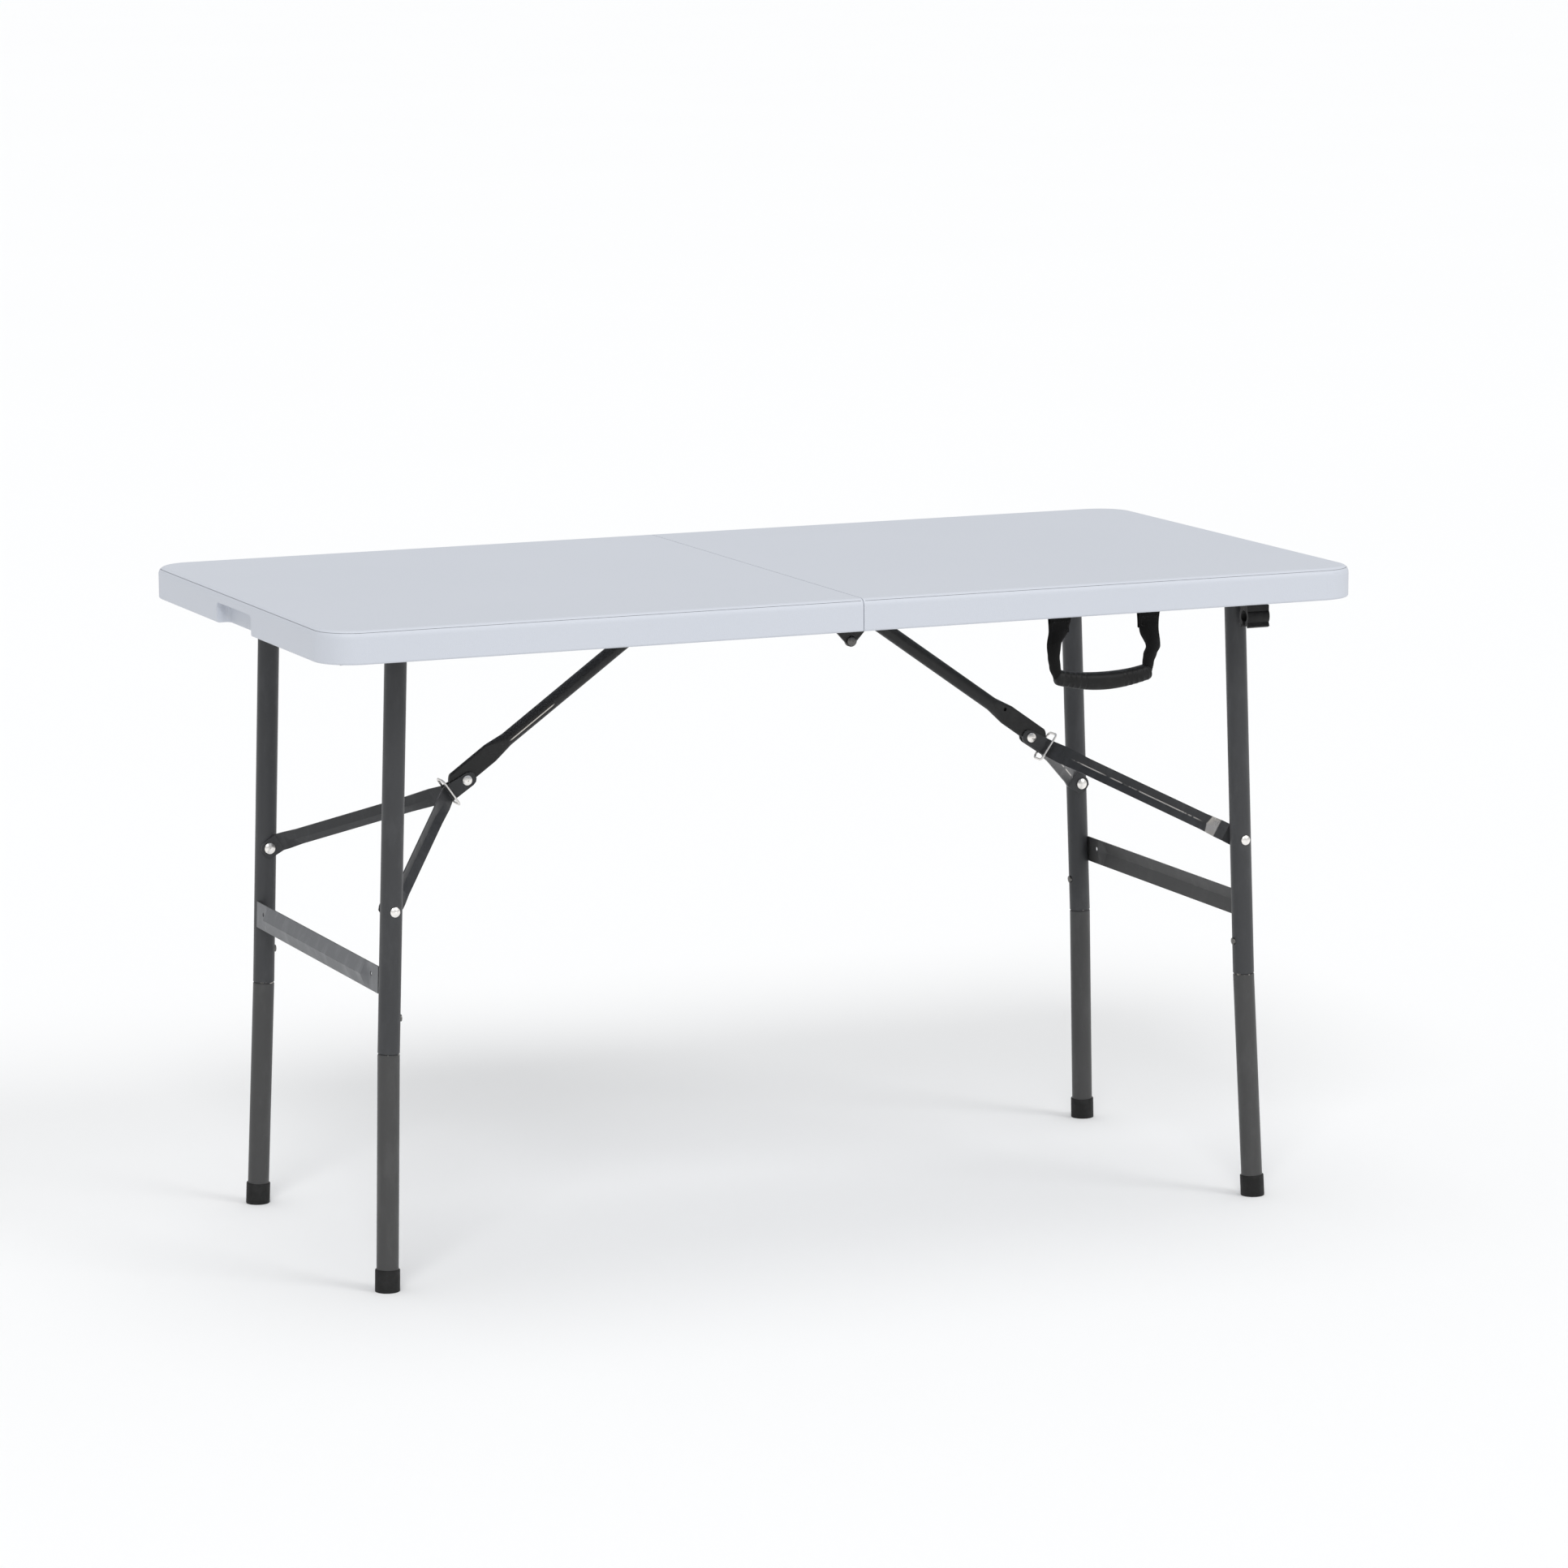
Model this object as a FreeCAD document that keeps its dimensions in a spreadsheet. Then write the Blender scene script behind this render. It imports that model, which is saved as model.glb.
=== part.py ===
import FreeCAD, Part
import math
import os

# Folding table with a blow-moulded top in two halves and folding, detachable steel legs.
# Millimetres. Origin on the floor under the middle of the top; +X along the length,
# +Y to the back, +Z up. The right half is designed in place; the left half's parts are the
# same parts turned half a turn about the Z axis.

Vector = FreeCAD.Vector
Placement = FreeCAD.Placement
Rotation = FreeCAD.Rotation
X_AXIS = Vector(1, 0, 0)
Y_AXIS = Vector(0, 1, 0)
Z_AXIS = Vector(0, 0, 1)

doc = FreeCAD.newDocument("FoldingTable")

# ------------------------------------------------------------------ driving dimensions

DIMENSIONS = [
    ("table_length", 1220),
    ("table_width", 610),
    ("table_height", 729),
    ("rim_height", 35.5),
    ("rim_width", 24),
    ("deck_thickness", 10.5),
    ("skin_thickness", 2.2),
    ("corner_radius", 44),
    ("top_round", 8),
    ("bottom_round", 2.5),
    ("seam_gap", 0.8),
    ("notch_width", 118),
    ("notch_height", 23),
    ("notch_depth", 15),
    ("pivot_x", 499.5),
    ("pivot_z", 697.5),
    ("foot_x", 524),
    ("leg_y", 209.5),
    ("foot_cant", 2.1),
    ("cant_relief", 0.45),
    ("leg_od", 24),
    ("leg_wall", 1.2),
    ("upper_leg_length", 440),
    ("groove_chamfer", 0.9),
    ("sleeve_od", 21.44),
    ("sleeve_wall", 1.2),
    ("sleeve_length", 75),
    ("cap_od", 27),
    ("cap_length", 24),
    ("cap_sole", 4),
    ("cap_round", 2.5),
    ("cross_tube_od", 20),
    ("cross_tube_wall", 1.5),
    ("cross_tube_half", 264),
    ("running_clearance", 0.08),
    ("bolt_along", 284.7),
    ("bolt_radius", 3),
    ("knee_radius", 3),
    ("button_along", 402),
    ("button_radius", 4),
    ("button_proud", 2.2),
    ("rail_inner_y", 248),
    ("rail_width", 25.5),
    ("rail_wall", 1.5),
    ("rail_bottom_z", 686),
    ("rail_outer_z", 690),
    ("rail_start_x", 8),
    ("rail_end_x", 576),
    ("hinge_z", 679),
    ("hinge_plate", 2.5),
    ("hinge_pin_radius", 3),
    ("strut_pivot_x", 82),
    ("strut_pivot_z", 697),
    ("strut_length", 323.24),
    ("strut_od", 16),
    ("strut_flat_height", 23),
    ("strut_flat_thickness", 5),
    ("strut_rise", 5.8),
    ("knee_x", 345.58),
    ("knee_z", 509.89),
    ("arm_plate", 2),
    ("arm_height", 21),
    ("arm_drop", 0.8),
    ("arm_gap", 0.3),
    ("crossbar_height", 29.5),
    ("crossbar_plate", 1.5),
    ("crossbar_crest", 6),
    ("left_crossbar_z", 337),
    ("right_crossbar_z", 332),
    ("ring_wire", 2.6),
    ("ring_along", 23.5),
    ("ring_height", 36.8),
    ("ring_rise", 1.9),
    ("ring_width", 20),
    ("handle_pivot_y", 261),
    ("handle_pivot_z", 691),
    ("strap_near_x", 255),
    ("strap_far_x", 364),
    ("strap_width", 25),
    ("strap_thickness", 3.2),
    ("grip_mid_x", 309),
    ("grip_span", 118),
    ("grip_sag", 8),
    ("grip_height", 19),
    ("grip_thickness", 22),
    ("clip_x", 490),
    ("clip_length", 27),
    ("clip_y", 250),
    ("clip_bore", 6.5),
    ("clip_wall", 4.5),
    ("clip_z", 673),
]

sheet = doc.addObject("Spreadsheet::Sheet", "Dimensions")
for row, (alias, number) in enumerate(DIMENSIONS, start=1):
    sheet.set(f"A{row}", alias)
    sheet.set(f"B{row}", str(number))
    sheet.setAlias(f"B{row}", alias)
doc.recompute()


def size(alias):
    """A driving dimension, read back from the sheet."""
    return float(sheet.get(alias))


SUB_PARTS = []


def bind(item, **expressions):
    """Bind properties of a document object to expressions over the sheet's aliases."""
    for prop, expression in expressions.items():
        text = expression
        for alias, _ in sorted(DIMENSIONS, key=lambda pair: -len(pair[0])):
            text = text.replace("{" + alias + "}", "Dimensions." + alias)
        item.setExpression(prop, text)
    return item


def box(length, width, height, corner):
    """A bound box with its lowest corner at a point."""
    item = bind(doc.addObject("Part::Box", "Box"), Length=length, Width=width, Height=height)
    item.Placement.Base = Vector(*corner)
    return item


def cylinder(radius, height, start, direction=Z_AXIS):
    """A bound cylinder from a start point along a direction."""
    item = bind(doc.addObject("Part::Cylinder", "Cylinder"), Radius=radius, Height=height)
    item.Placement = Placement(Vector(*start), Rotation(Z_AXIS, Vector(*direction)))
    return item


def fuse(*items):
    """One solid from several that touch or overlap."""
    item = doc.addObject("Part::MultiFuse", "Fuse")
    item.Shapes = list(items)
    item.Refine = True
    return item


def group(*items):
    """Separate solids kept together as one sub-part."""
    item = doc.addObject("Part::Compound", "Group")
    item.Links = list(items)
    return item


def cut(base, *tools):
    """A solid less one or more others."""
    item = doc.addObject("Part::Cut", "Cut")
    item.Base = base
    item.Tool = tools[0] if len(tools) == 1 else group(*tools)
    return item


def formed(shape):
    """A shape made with Part's own functions, as a document object."""
    item = doc.addObject("Part::Feature", "Formed")
    item.Shape = shape
    return item


def rounded(base, radius, wanted):
    """Round the edges of base that the test function picks."""
    doc.recompute()
    edges = []
    for number, edge in enumerate(base.Shape.Edges, start=1):
        if wanted(edge):
            edges.append((number, radius, radius))
    item = doc.addObject("Part::Fillet", "Round")
    item.Base = base
    item.Edges = edges
    return item


def bevelled(base, width, wanted):
    """Bevel the edges of base that the test function picks."""
    doc.recompute()
    edges = []
    for number, edge in enumerate(base.Shape.Edges, start=1):
        if wanted(edge):
            edges.append((number, width, width))
    item = doc.addObject("Part::Chamfer", "Bevel")
    item.Base = base
    item.Edges = edges
    return item


def padded_plate(points, holes, thickness):
    """A flat plate drawn in X and Z and padded along -Y from Y = 0."""
    body = doc.addObject("PartDesign::Body", "Body")
    sketch = body.newObject("Sketcher::SketchObject", "Outline")
    planes = [f for f in body.Origin.OriginFeatures if f.Role == "XZ_Plane"]
    sketch.AttachmentSupport = [(planes[0], "")]
    sketch.MapMode = "FlatFace"
    for start, end in zip(points, points[1:] + points[:1]):
        sketch.addGeometry(Part.LineSegment(Vector(*start, 0), Vector(*end, 0)), False)
    for x, z, radius in holes:
        sketch.addGeometry(Part.Circle(Vector(x, z, 0), Z_AXIS, radius), False)
    pad = body.newObject("PartDesign::Pad", "Pad")
    pad.Profile = sketch
    bind(pad, Length=thickness)
    return body


def finish(item, label, placement=None):
    """Name a finished sub-part and put it in its place."""
    item.Label = label
    if placement is not None:
        item.Placement = placement
    SUB_PARTS.append(item)
    return item


def arc_points(centre_x, centre_z, radius, start, end, steps):
    """Points along an arc in the XZ plane, in degrees from +X towards +Z."""
    points = []
    for step in range(steps + 1):
        angle = math.radians(start + (end - start) * step / steps)
        points.append((centre_x + radius * math.cos(angle), centre_z + radius * math.sin(angle)))
    return points


def dome_profile(radius, height):
    """Half outline of a domed head: flat face at 0, dome up to height, about the local Z axis."""
    rise = height * 0.4
    cap = height - rise
    sphere = (radius * radius + cap * cap) / (2 * cap)
    half_angle = math.asin(radius / sphere) / 2
    middle = Vector(sphere * math.sin(half_angle), 0, height - sphere + sphere * math.cos(half_angle))
    foot = Vector(0, 0, 0)
    rim = Vector(radius, 0, 0)
    shoulder = Vector(radius, 0, rise)
    crown = Vector(0, 0, height)
    edges = [
        Part.LineSegment(foot, crown).toShape(),
        Part.Arc(crown, middle, shoulder).toShape(),
        Part.LineSegment(shoulder, rim).toShape(),
        Part.LineSegment(rim, foot).toShape(),
    ]
    return Part.Face(Part.Wire(edges))


def dome(radius, height, start, direction, dimple=0):
    """A domed head whose flat face is at start, rising along direction, dimpled where asked."""
    shape = dome_profile(radius, height).revolve(Vector(0, 0, 0), Z_AXIS, 360)
    if dimple:
        shape = shape.cut(Part.makeCylinder(dimple, height, Vector(0, 0, height - dimple)))
    shape.Placement = Placement(Vector(*start), Rotation(Z_AXIS, Vector(*direction)))
    return shape


# ------------------------------------------------------------------ the two sides

HALF_LENGTH = size("table_length") / 2
HALF_WIDTH = size("table_width") / 2
TOP_Z = size("table_height")
RIM_Z = TOP_Z - size("rim_height")
DECK_Z = TOP_Z - size("deck_thickness")
SPLAY = math.atan2(size("foot_x") - size("pivot_x"), size("pivot_z"))
LEG_RADIUS = size("leg_od") / 2

SIDES = {
    "right": {"turn": Placement(), "crossbar_z": "right_crossbar_z"},
    "left": {
        "turn": Placement(Vector(0, 0, 0), Rotation(Z_AXIS, 180)),
        "crossbar_z": "left_crossbar_z",
    },
}


def row_name(side, row):
    """front or back for a row of the side; the half turn swaps them on the left."""
    if side == "right":
        return "front" if row < 0 else "back"
    return "back" if row < 0 else "front"


def leg_frame_placement(leg_y):
    """From a leg's own frame (pivot at 0, foot down -Z, inner face on -X) to the table."""
    pivot = Vector(size("pivot_x"), leg_y, size("pivot_z"))
    return Placement(pivot, Rotation(Y_AXIS, -math.degrees(SPLAY)))


# ------------------------------------------------------------------ table top

def tabletop(side):
    """One hollow blow-moulded half: deck, skirt rim on three edges, finger notch at its end."""
    seam = size("seam_gap") / 2
    slab = box(
        "{table_length} / 2 - {seam_gap} / 2", "{table_width}", "{rim_height}",
        (seam, -HALF_WIDTH, RIM_Z),
    )

    def outer_corner(edge):
        ends = edge.Vertexes
        upright = len(ends) == 2 and abs(ends[0].Z - ends[1].Z) > size("rim_height") / 2
        return upright and ends[0].X > HALF_LENGTH / 2

    corners = rounded(slab, size("corner_radius"), outer_corner)

    def top_edge(edge):
        box_ = edge.BoundBox
        flat = box_.ZMin > TOP_Z - 0.01
        return flat and box_.XMax > seam + 1

    top = rounded(corners, size("top_round"), top_edge)

    def bottom_edge(edge):
        box_ = edge.BoundBox
        return box_.ZMax < RIM_Z + 0.01 and box_.XMax > seam + 1

    outside = rounded(top, size("bottom_round"), bottom_edge)
    inset = size("rim_width")
    recess_block = box(
        "{table_length} / 2 - {rim_width} + 2", "{table_width} - 2 * {rim_width}",
        "{rim_height} - {deck_thickness} + 1", (-2, -HALF_WIDTH + inset, RIM_Z - 1),
    )

    def recess_corner(edge):
        ends = edge.Vertexes
        upright = len(ends) == 2 and abs(ends[0].Z - ends[1].Z) > 5
        return upright and ends[0].X > HALF_LENGTH / 2

    recess = rounded(recess_block, size("corner_radius") - size("rim_width"), recess_corner)
    notch_block = box(
        "{notch_depth} + 2", "{notch_width}", "{notch_height} + 2",
        (HALF_LENGTH - size("notch_depth"), -size("notch_width") / 2, RIM_Z - 2),
    )

    def notch_corner(edge):
        ends = edge.Vertexes
        if len(ends) != 2:
            return False
        upper_front_back = edge.BoundBox.ZMin > RIM_Z + size("notch_height") - 0.01
        along_x = edge.BoundBox.YLength < 0.01
        upright_inner = edge.BoundBox.ZLength > 5 and ends[0].X < HALF_LENGTH
        return (upper_front_back and along_x) or upright_inner

    notch = rounded(notch_block, 6, notch_corner)
    void = hollow(inset)
    screw_holes = formed(Part.makeCompound([s.copy() for s in screw_shanks()]))
    half = cut(outside, recess, notch, void, screw_holes)
    finish(half, f"{side}_tabletop", SIDES[side]["turn"])


def hollow(inset):
    """The sealed air space inside a half: the deck's, and the rim's down its three edges."""
    skin = size("skin_thickness")
    seam = size("seam_gap") / 2
    deck = Part.makeBox(
        HALF_LENGTH - 2 * skin - seam, 2 * (HALF_WIDTH - skin), size("deck_thickness") - 2 * skin,
        Vector(seam + skin, -HALF_WIDTH + skin, DECK_Z + skin),
    )
    rim_drop = DECK_Z + skin - (RIM_Z + skin) + 1
    rim_gap = inset - 2 * skin
    rows = []
    for row_y in (-HALF_WIDTH + skin, HALF_WIDTH - skin - rim_gap):
        rows.append(Part.makeBox(
            HALF_LENGTH - seam - 2 * skin, rim_gap, rim_drop,
            Vector(seam + skin, row_y, RIM_Z + skin),
        ))
    shape = deck.multiFuse(rows)
    corner_trim = Part.makeBox(
        HALF_LENGTH - 2 * skin - seam, 2 * (HALF_WIDTH - skin), size("rim_height"),
        Vector(seam + skin, -HALF_WIDTH + skin, RIM_Z + skin),
    )
    uprights = []
    for edge in corner_trim.Edges:
        ends = edge.Vertexes
        if abs(ends[0].Z - ends[1].Z) > 5 and ends[0].X > HALF_LENGTH / 2:
            uprights.append(edge)
    corner_trim = corner_trim.makeFillet(size("corner_radius") - skin, uprights)
    shape = shape.common(corner_trim)
    screw_zone = size("rail_inner_y") - 4
    keep_solid = []
    for row_y in (-HALF_WIDTH + inset, screw_zone):
        keep_solid.append(Part.makeBox(
            HALF_LENGTH, HALF_WIDTH - inset - screw_zone, 5, Vector(0, row_y, DECK_Z),
        ))
    pad = Part.makeBox(76, 56, 5, Vector(size("strut_pivot_x") - 38, -28, DECK_Z))
    keep_solid.append(pad)
    return formed(shape.cut(Part.makeCompound(keep_solid)).removeSplitter())


# ------------------------------------------------------------------ under-frame rails and screws

def rail_row_y(row):
    """The rail's lowest Y for a row: -1 front, +1 back."""
    if row < 0:
        return -size("rail_inner_y") - size("rail_width")
    return size("rail_inner_y")


def rail(side, row):
    """A steel channel, open downwards, screwed along one edge; its inner wall carries the pivot."""
    wall = size("rail_wall")
    length = "{rail_end_x} - {rail_start_x}"
    start_y = rail_row_y(row)
    height = DECK_Z - size("rail_bottom_z")
    outer = box(length, "{rail_width}", str(height), (size("rail_start_x"), start_y, size("rail_bottom_z")))
    inner = box(
        length, "{rail_width} - 2 * {rail_wall}", str(height - wall),
        (size("rail_start_x"), start_y + wall, size("rail_bottom_z")),
    )
    flange_y = start_y if row < 0 else start_y + size("rail_width") - wall
    trim = box(
        length, "{rail_wall}", "{rail_outer_z} - {rail_bottom_z}",
        (size("rail_start_x"), flange_y, size("rail_bottom_z")),
    )
    inner_wall_y = row * size("rail_inner_y") - row
    hole = cylinder(
        "{cross_tube_od} / 2 + {running_clearance}", "4",
        (size("pivot_x"), inner_wall_y, size("pivot_z")), (0, row, 0),
    )
    tools = [inner, trim, hole]
    for x, y in rail_screw_places(row):
        tools.append(cylinder("2", "4", (x, y, DECK_Z - 3)))
    for x in HINGE_RIVET_X:
        start = (x, row * (size("rail_inner_y") + size("rail_width") - 3), HINGE_RIVET_Z)
        tools.append(cylinder("2.5", "6", start, (0, row, 0)))
    channel = cut(outer, *tools)
    finish(channel, f"{side}_{row_name(side, row)}_rail", SIDES[side]["turn"])


HINGE_RIVET_X = (34, 58)
HINGE_RIVET_Z = 695


def rail_screw_places(row):
    """X and Y of a rail's screws."""
    centre_y = row * (size("rail_inner_y") + size("rail_width") / 2)
    places = []
    for x in (100, 215, 430, 560):
        places.append((x, centre_y))
    return places


def bracket_screw_places():
    """X and Y of the strut bracket's screws."""
    centre = size("strut_pivot_x")
    places = []
    for dx in (-26, 26):
        for y in (-16, 16):
            places.append((centre + dx, y))
    return places


def screw_shanks():
    """Screw shanks in the deck: down from inside it to the steel."""
    shanks = []
    for x, y in rail_screw_places(-1) + rail_screw_places(1):
        shanks.append(Part.makeCylinder(2, 4.5, Vector(x, y, DECK_Z - 1.5)))
    for x, y in bracket_screw_places():
        shanks.append(Part.makeCylinder(2, 5, Vector(x, y, DECK_Z - 2)))
    return shanks


def screws(side):
    """Pan-head screws that hold the rails and the strut bracket to the deck."""
    solids = []
    heads = [(x, y, size("rail_wall")) for x, y in rail_screw_places(-1) + rail_screw_places(1)]
    heads += [(x, y, 2) for x, y in bracket_screw_places()]
    for shank, (x, y, steel) in zip(screw_shanks(), heads):
        head = dome(4, 2.4, (x, y, DECK_Z - steel), (0, 0, -1))
        solids.append(shank.fuse(head).removeSplitter())
    finish(formed(Part.makeCompound(solids)), f"{side}_screws", SIDES[side]["turn"])


# ------------------------------------------------------------------ centre hinges

def hinge_leaf(side, row):
    """A centre-hinge leaf, riveted inside the rail's outer wall, with its eye at the seam."""
    eye = size("hinge_z")
    knuckle = 6.5
    outline = arc_points(0, eye, knuckle, 120, 300, 10)
    outline += [(18, 689.5), (70, 689.5), (70, 704), (10, 704), (4, 692)]
    if side == "left":
        hole_radius = size("hinge_pin_radius")
    else:
        hole_radius = size("hinge_pin_radius") + size("running_clearance")
    holes = [(0, eye, hole_radius)]
    for x in HINGE_RIVET_X:
        holes.append((x, HINGE_RIVET_Z, 2.5))
    plate = padded_plate(outline, holes, "{hinge_plate}")
    # padded_plate grows towards -Y, so its placement is at the plate's +Y face
    outer_face = size("rail_inner_y") + size("rail_width") - size("rail_wall")
    layer = size("hinge_plate") + 0.3 if side == "right" else 0
    if row < 0:
        plate_y = -outer_face + layer + size("hinge_plate")
    else:
        plate_y = outer_face - layer
    stand = Placement(Vector(0, plate_y, 0), Rotation())
    leaf = plate
    place = SIDES[side]["turn"].multiply(stand)
    if side == "right":
        plate.Placement = stand
        place = SIDES[side]["turn"]
        spacer_y = -outer_face if row < 0 else outer_face - layer
        spacer = box("46", "{hinge_plate} + 0.3", "12", (24, spacer_y, 690))
        holes = []
        for x in HINGE_RIVET_X:
            holes.append(cylinder("2.5", "20", (x, spacer_y - 8, HINGE_RIVET_Z), (0, 1, 0)))
        leaf = cut(fuse(plate, spacer), *holes)
    finish(leaf, f"{side}_{row_name(side, row)}_hinge_leaf", place)


def hinge_rivets(side):
    """Rivets through each leaf and the rail's outer wall."""
    wall_outer = size("rail_inner_y") + size("rail_width")
    leaf_inner = wall_outer - size("rail_wall") - size("hinge_plate")
    if side == "right":
        leaf_inner -= size("hinge_plate") + 0.3
    solids = []
    for row in (-1, 1):
        for x in HINGE_RIVET_X:
            start = Vector(x, row * leaf_inner, HINGE_RIVET_Z)
            shank = Part.makeCylinder(2.5, wall_outer - leaf_inner, start, Vector(0, row, 0))
            inner = dome(4.5, 2, tuple(start), (0, -row, 0))
            outer = dome(4.5, 2, (x, row * wall_outer, HINGE_RIVET_Z), (0, row, 0))
            solids.append(shank.multiFuse([inner, outer]).removeSplitter())
    finish(formed(Part.makeCompound(solids)), f"{side}_hinge_rivets", SIDES[side]["turn"])


def hinge_pins():
    """The two pins on the fold axis, with a button head at each end."""
    outer_face = size("rail_inner_y") + size("rail_width") - size("rail_wall")
    inner_face = outer_face - 2 * size("hinge_plate") - 0.3
    solids = []
    for row in (-1, 1):
        start = (0, row * (inner_face - 0.2), size("hinge_z"))
        length = outer_face - inner_face + 0.2
        shank = Part.makeCylinder(size("hinge_pin_radius"), length, Vector(*start), Vector(0, row, 0))
        inner = dome(5.5, 3, start, (0, -row, 0))
        outer = dome(5.5, 4.5, (0, row * outer_face, size("hinge_z")), (0, row, 0))
        solids.append(shank.multiFuse([inner, outer]).removeSplitter())
    finish(formed(Part.makeCompound(solids)), "hinge_pins")


# ------------------------------------------------------------------ leg frames

def cross_tube(side):
    """The tube across the top of a leg frame, turning in the rails' inner walls."""
    start = (size("pivot_x"), -size("cross_tube_half"), size("pivot_z"))
    outer = cylinder("{cross_tube_od} / 2", "2 * {cross_tube_half}", start, (0, 1, 0))
    inner = cylinder("{cross_tube_od} / 2 - {cross_tube_wall}", "2 * {cross_tube_half}", start, (0, 1, 0))
    finish(cut(outer, inner), f"{side}_cross_tube", SIDES[side]["turn"])


def tube(od, wall, top, length):
    """A tube down the leg's own -Z axis, from top to top - length; od and wall are expressions."""
    outer = cylinder(f"({od}) / 2", length, (0, 0, top), (0, 0, -1))
    inner = cylinder(f"({od}) / 2 - ({wall})", length, (0, 0, top), (0, 0, -1))
    return outer, inner


def lower_rim(z):
    """Picks the circular edge of a tube's outside at height z in the leg's own frame."""
    def wanted(edge):
        box_ = edge.BoundBox
        return abs(box_.ZMin - z) < 0.01 and abs(box_.ZMax - z) < 0.01 and box_.XLength > 2 * LEG_RADIUS - 0.1
    return wanted


def upper_leg(side, row):
    """Upper leg tube, coped round the cross tube, with the arm bolt's and button's holes."""
    leg_y = row * size("leg_y")
    outer, inner = tube("{leg_od}", "{leg_wall}", 0, "{upper_leg_length}")
    solid = bevelled(outer, size("groove_chamfer"), lower_rim(-size("upper_leg_length")))
    saddle = cylinder("{cross_tube_od} / 2", "60", (0, -30, 0), (0, 1, 0))
    tip = box("30", "30", "10", (-15, -15, -4))
    bolt = cylinder("{bolt_radius}", "60", (0, -30, -size("bolt_along")), (0, 1, 0))
    button = cylinder("{button_radius} + 0.1", "20", (0, 0, -size("button_along")), (-1, 0, 0))
    leg = cut(solid, inner, saddle, tip, bolt, button)
    place = SIDES[side]["turn"].multiply(leg_frame_placement(leg_y))
    finish(leg, f"{side}_{row_name(side, row)}_upper_leg", place)


def ridged_strip(stations, thickness):
    """A stamped strip with a V ridge, lofted through its stations.

    Each station is (along, across, tilt, crest, half height): a point in the strip's plan,
    the direction of its outward normal in degrees there, how far the ridge stands out and
    half the strip's height. The strip's height runs along its own Z axis.
    """
    sections = []
    for along, across, tilt, crest, half in stations:
        normal = Vector(math.cos(math.radians(tilt)), math.sin(math.radians(tilt)), 0)
        centre = Vector(along, across, 0)
        points = []
        for offset in (thickness, 0):
            heights = (-half, 0, half) if offset else (half, 0, -half)
            for level in heights:
                stand_out = offset + (crest if level == 0 else 0)
                points.append(centre + normal * stand_out + Vector(0, 0, level))
        outline = doc.addObject("Part::Polygon", "Section")
        outline.Nodes = points
        outline.Close = True
        sections.append(outline)
    loft = doc.addObject("Part::Loft", "Strip")
    loft.Sections = sections
    loft.Solid = True
    loft.Ruled = True
    return loft


def crossbar(side):
    """Ridged strip let into the outer side of both upper legs."""
    label = f"{side}_crossbar"
    reach = size("leg_y") - 6
    half = size("crossbar_height") / 2
    crest = size("crossbar_crest")
    inboard = 28
    slope = 12
    stations = [
        (0, -reach, 0, 0, half),
        (0, -reach + inboard, 0, 0, half),
        (0, -reach + inboard + slope, 0, crest, half),
        (0, reach - inboard - slope, 0, crest, half),
        (0, reach - inboard, 0, 0, half),
        (0, reach, 0, 0, half),
    ]
    strip = ridged_strip(stations, size("crossbar_plate"))
    along = (size("pivot_z") - size(SIDES[side]["crossbar_z"])) / math.cos(SPLAY)
    outer_face = LEG_RADIUS - 0.5
    strip.Placement = Placement(Vector(outer_face - size("crossbar_plate"), 0, -along), Rotation())
    tools = []
    for row in (-1, 1):
        leg_y = row * size("leg_y")
        tools.append(cylinder("{leg_od} / 2", "80", (0, leg_y, -along - 40)))
        hole_y = row * (reach - 23)
        tools.append(cylinder("2.5", "30", (0, hole_y, -along + 3), (1, 0, 0)))
    place = SIDES[side]["turn"].multiply(leg_frame_placement(0))
    finish(cut(strip, *tools), label, place)


def arm_bolts(side):
    """The leg's half of each bolt that an arm turns on: shank through the leg, domed head outside."""
    solids = []
    for row in (-1, 1):
        leg_y = row * size("leg_y")
        inner_y = leg_y - row * LEG_RADIUS
        outer_y = leg_y + row * LEG_RADIUS
        depth = -size("bolt_along")
        shank = Part.makeCylinder(
            size("bolt_radius"), size("leg_od"), Vector(0, inner_y, depth), Vector(0, row, 0)
        )
        outer = dome(5.4, 3.2, (0, outer_y, depth), (0, row, 0))
        solids.append(shank.fuse(outer).removeSplitter())
    place = SIDES[side]["turn"].multiply(leg_frame_placement(0))
    finish(formed(Part.makeCompound(solids)), f"{side}_arm_bolts", place)


# ------------------------------------------------------------------ lower legs

def cant_placement(row):
    """A lower leg leans outward below its shoulder; the shoulder is set low enough to clear."""
    shoulder = Vector(0, 0, -size("upper_leg_length") - size("cant_relief"))
    lean = Placement(Vector(0, 0, 0), Rotation(X_AXIS, row * size("foot_cant")))
    return Placement(shoulder, Rotation()).multiply(lean)


def canted_length():
    """From a lower leg's shoulder to the floor, along the lower leg."""
    full = math.hypot(size("foot_x") - size("pivot_x"), size("pivot_z"))
    lean = math.radians(size("foot_cant"))
    return (full - size("upper_leg_length") - size("cant_relief")) / math.cos(lean)


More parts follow.
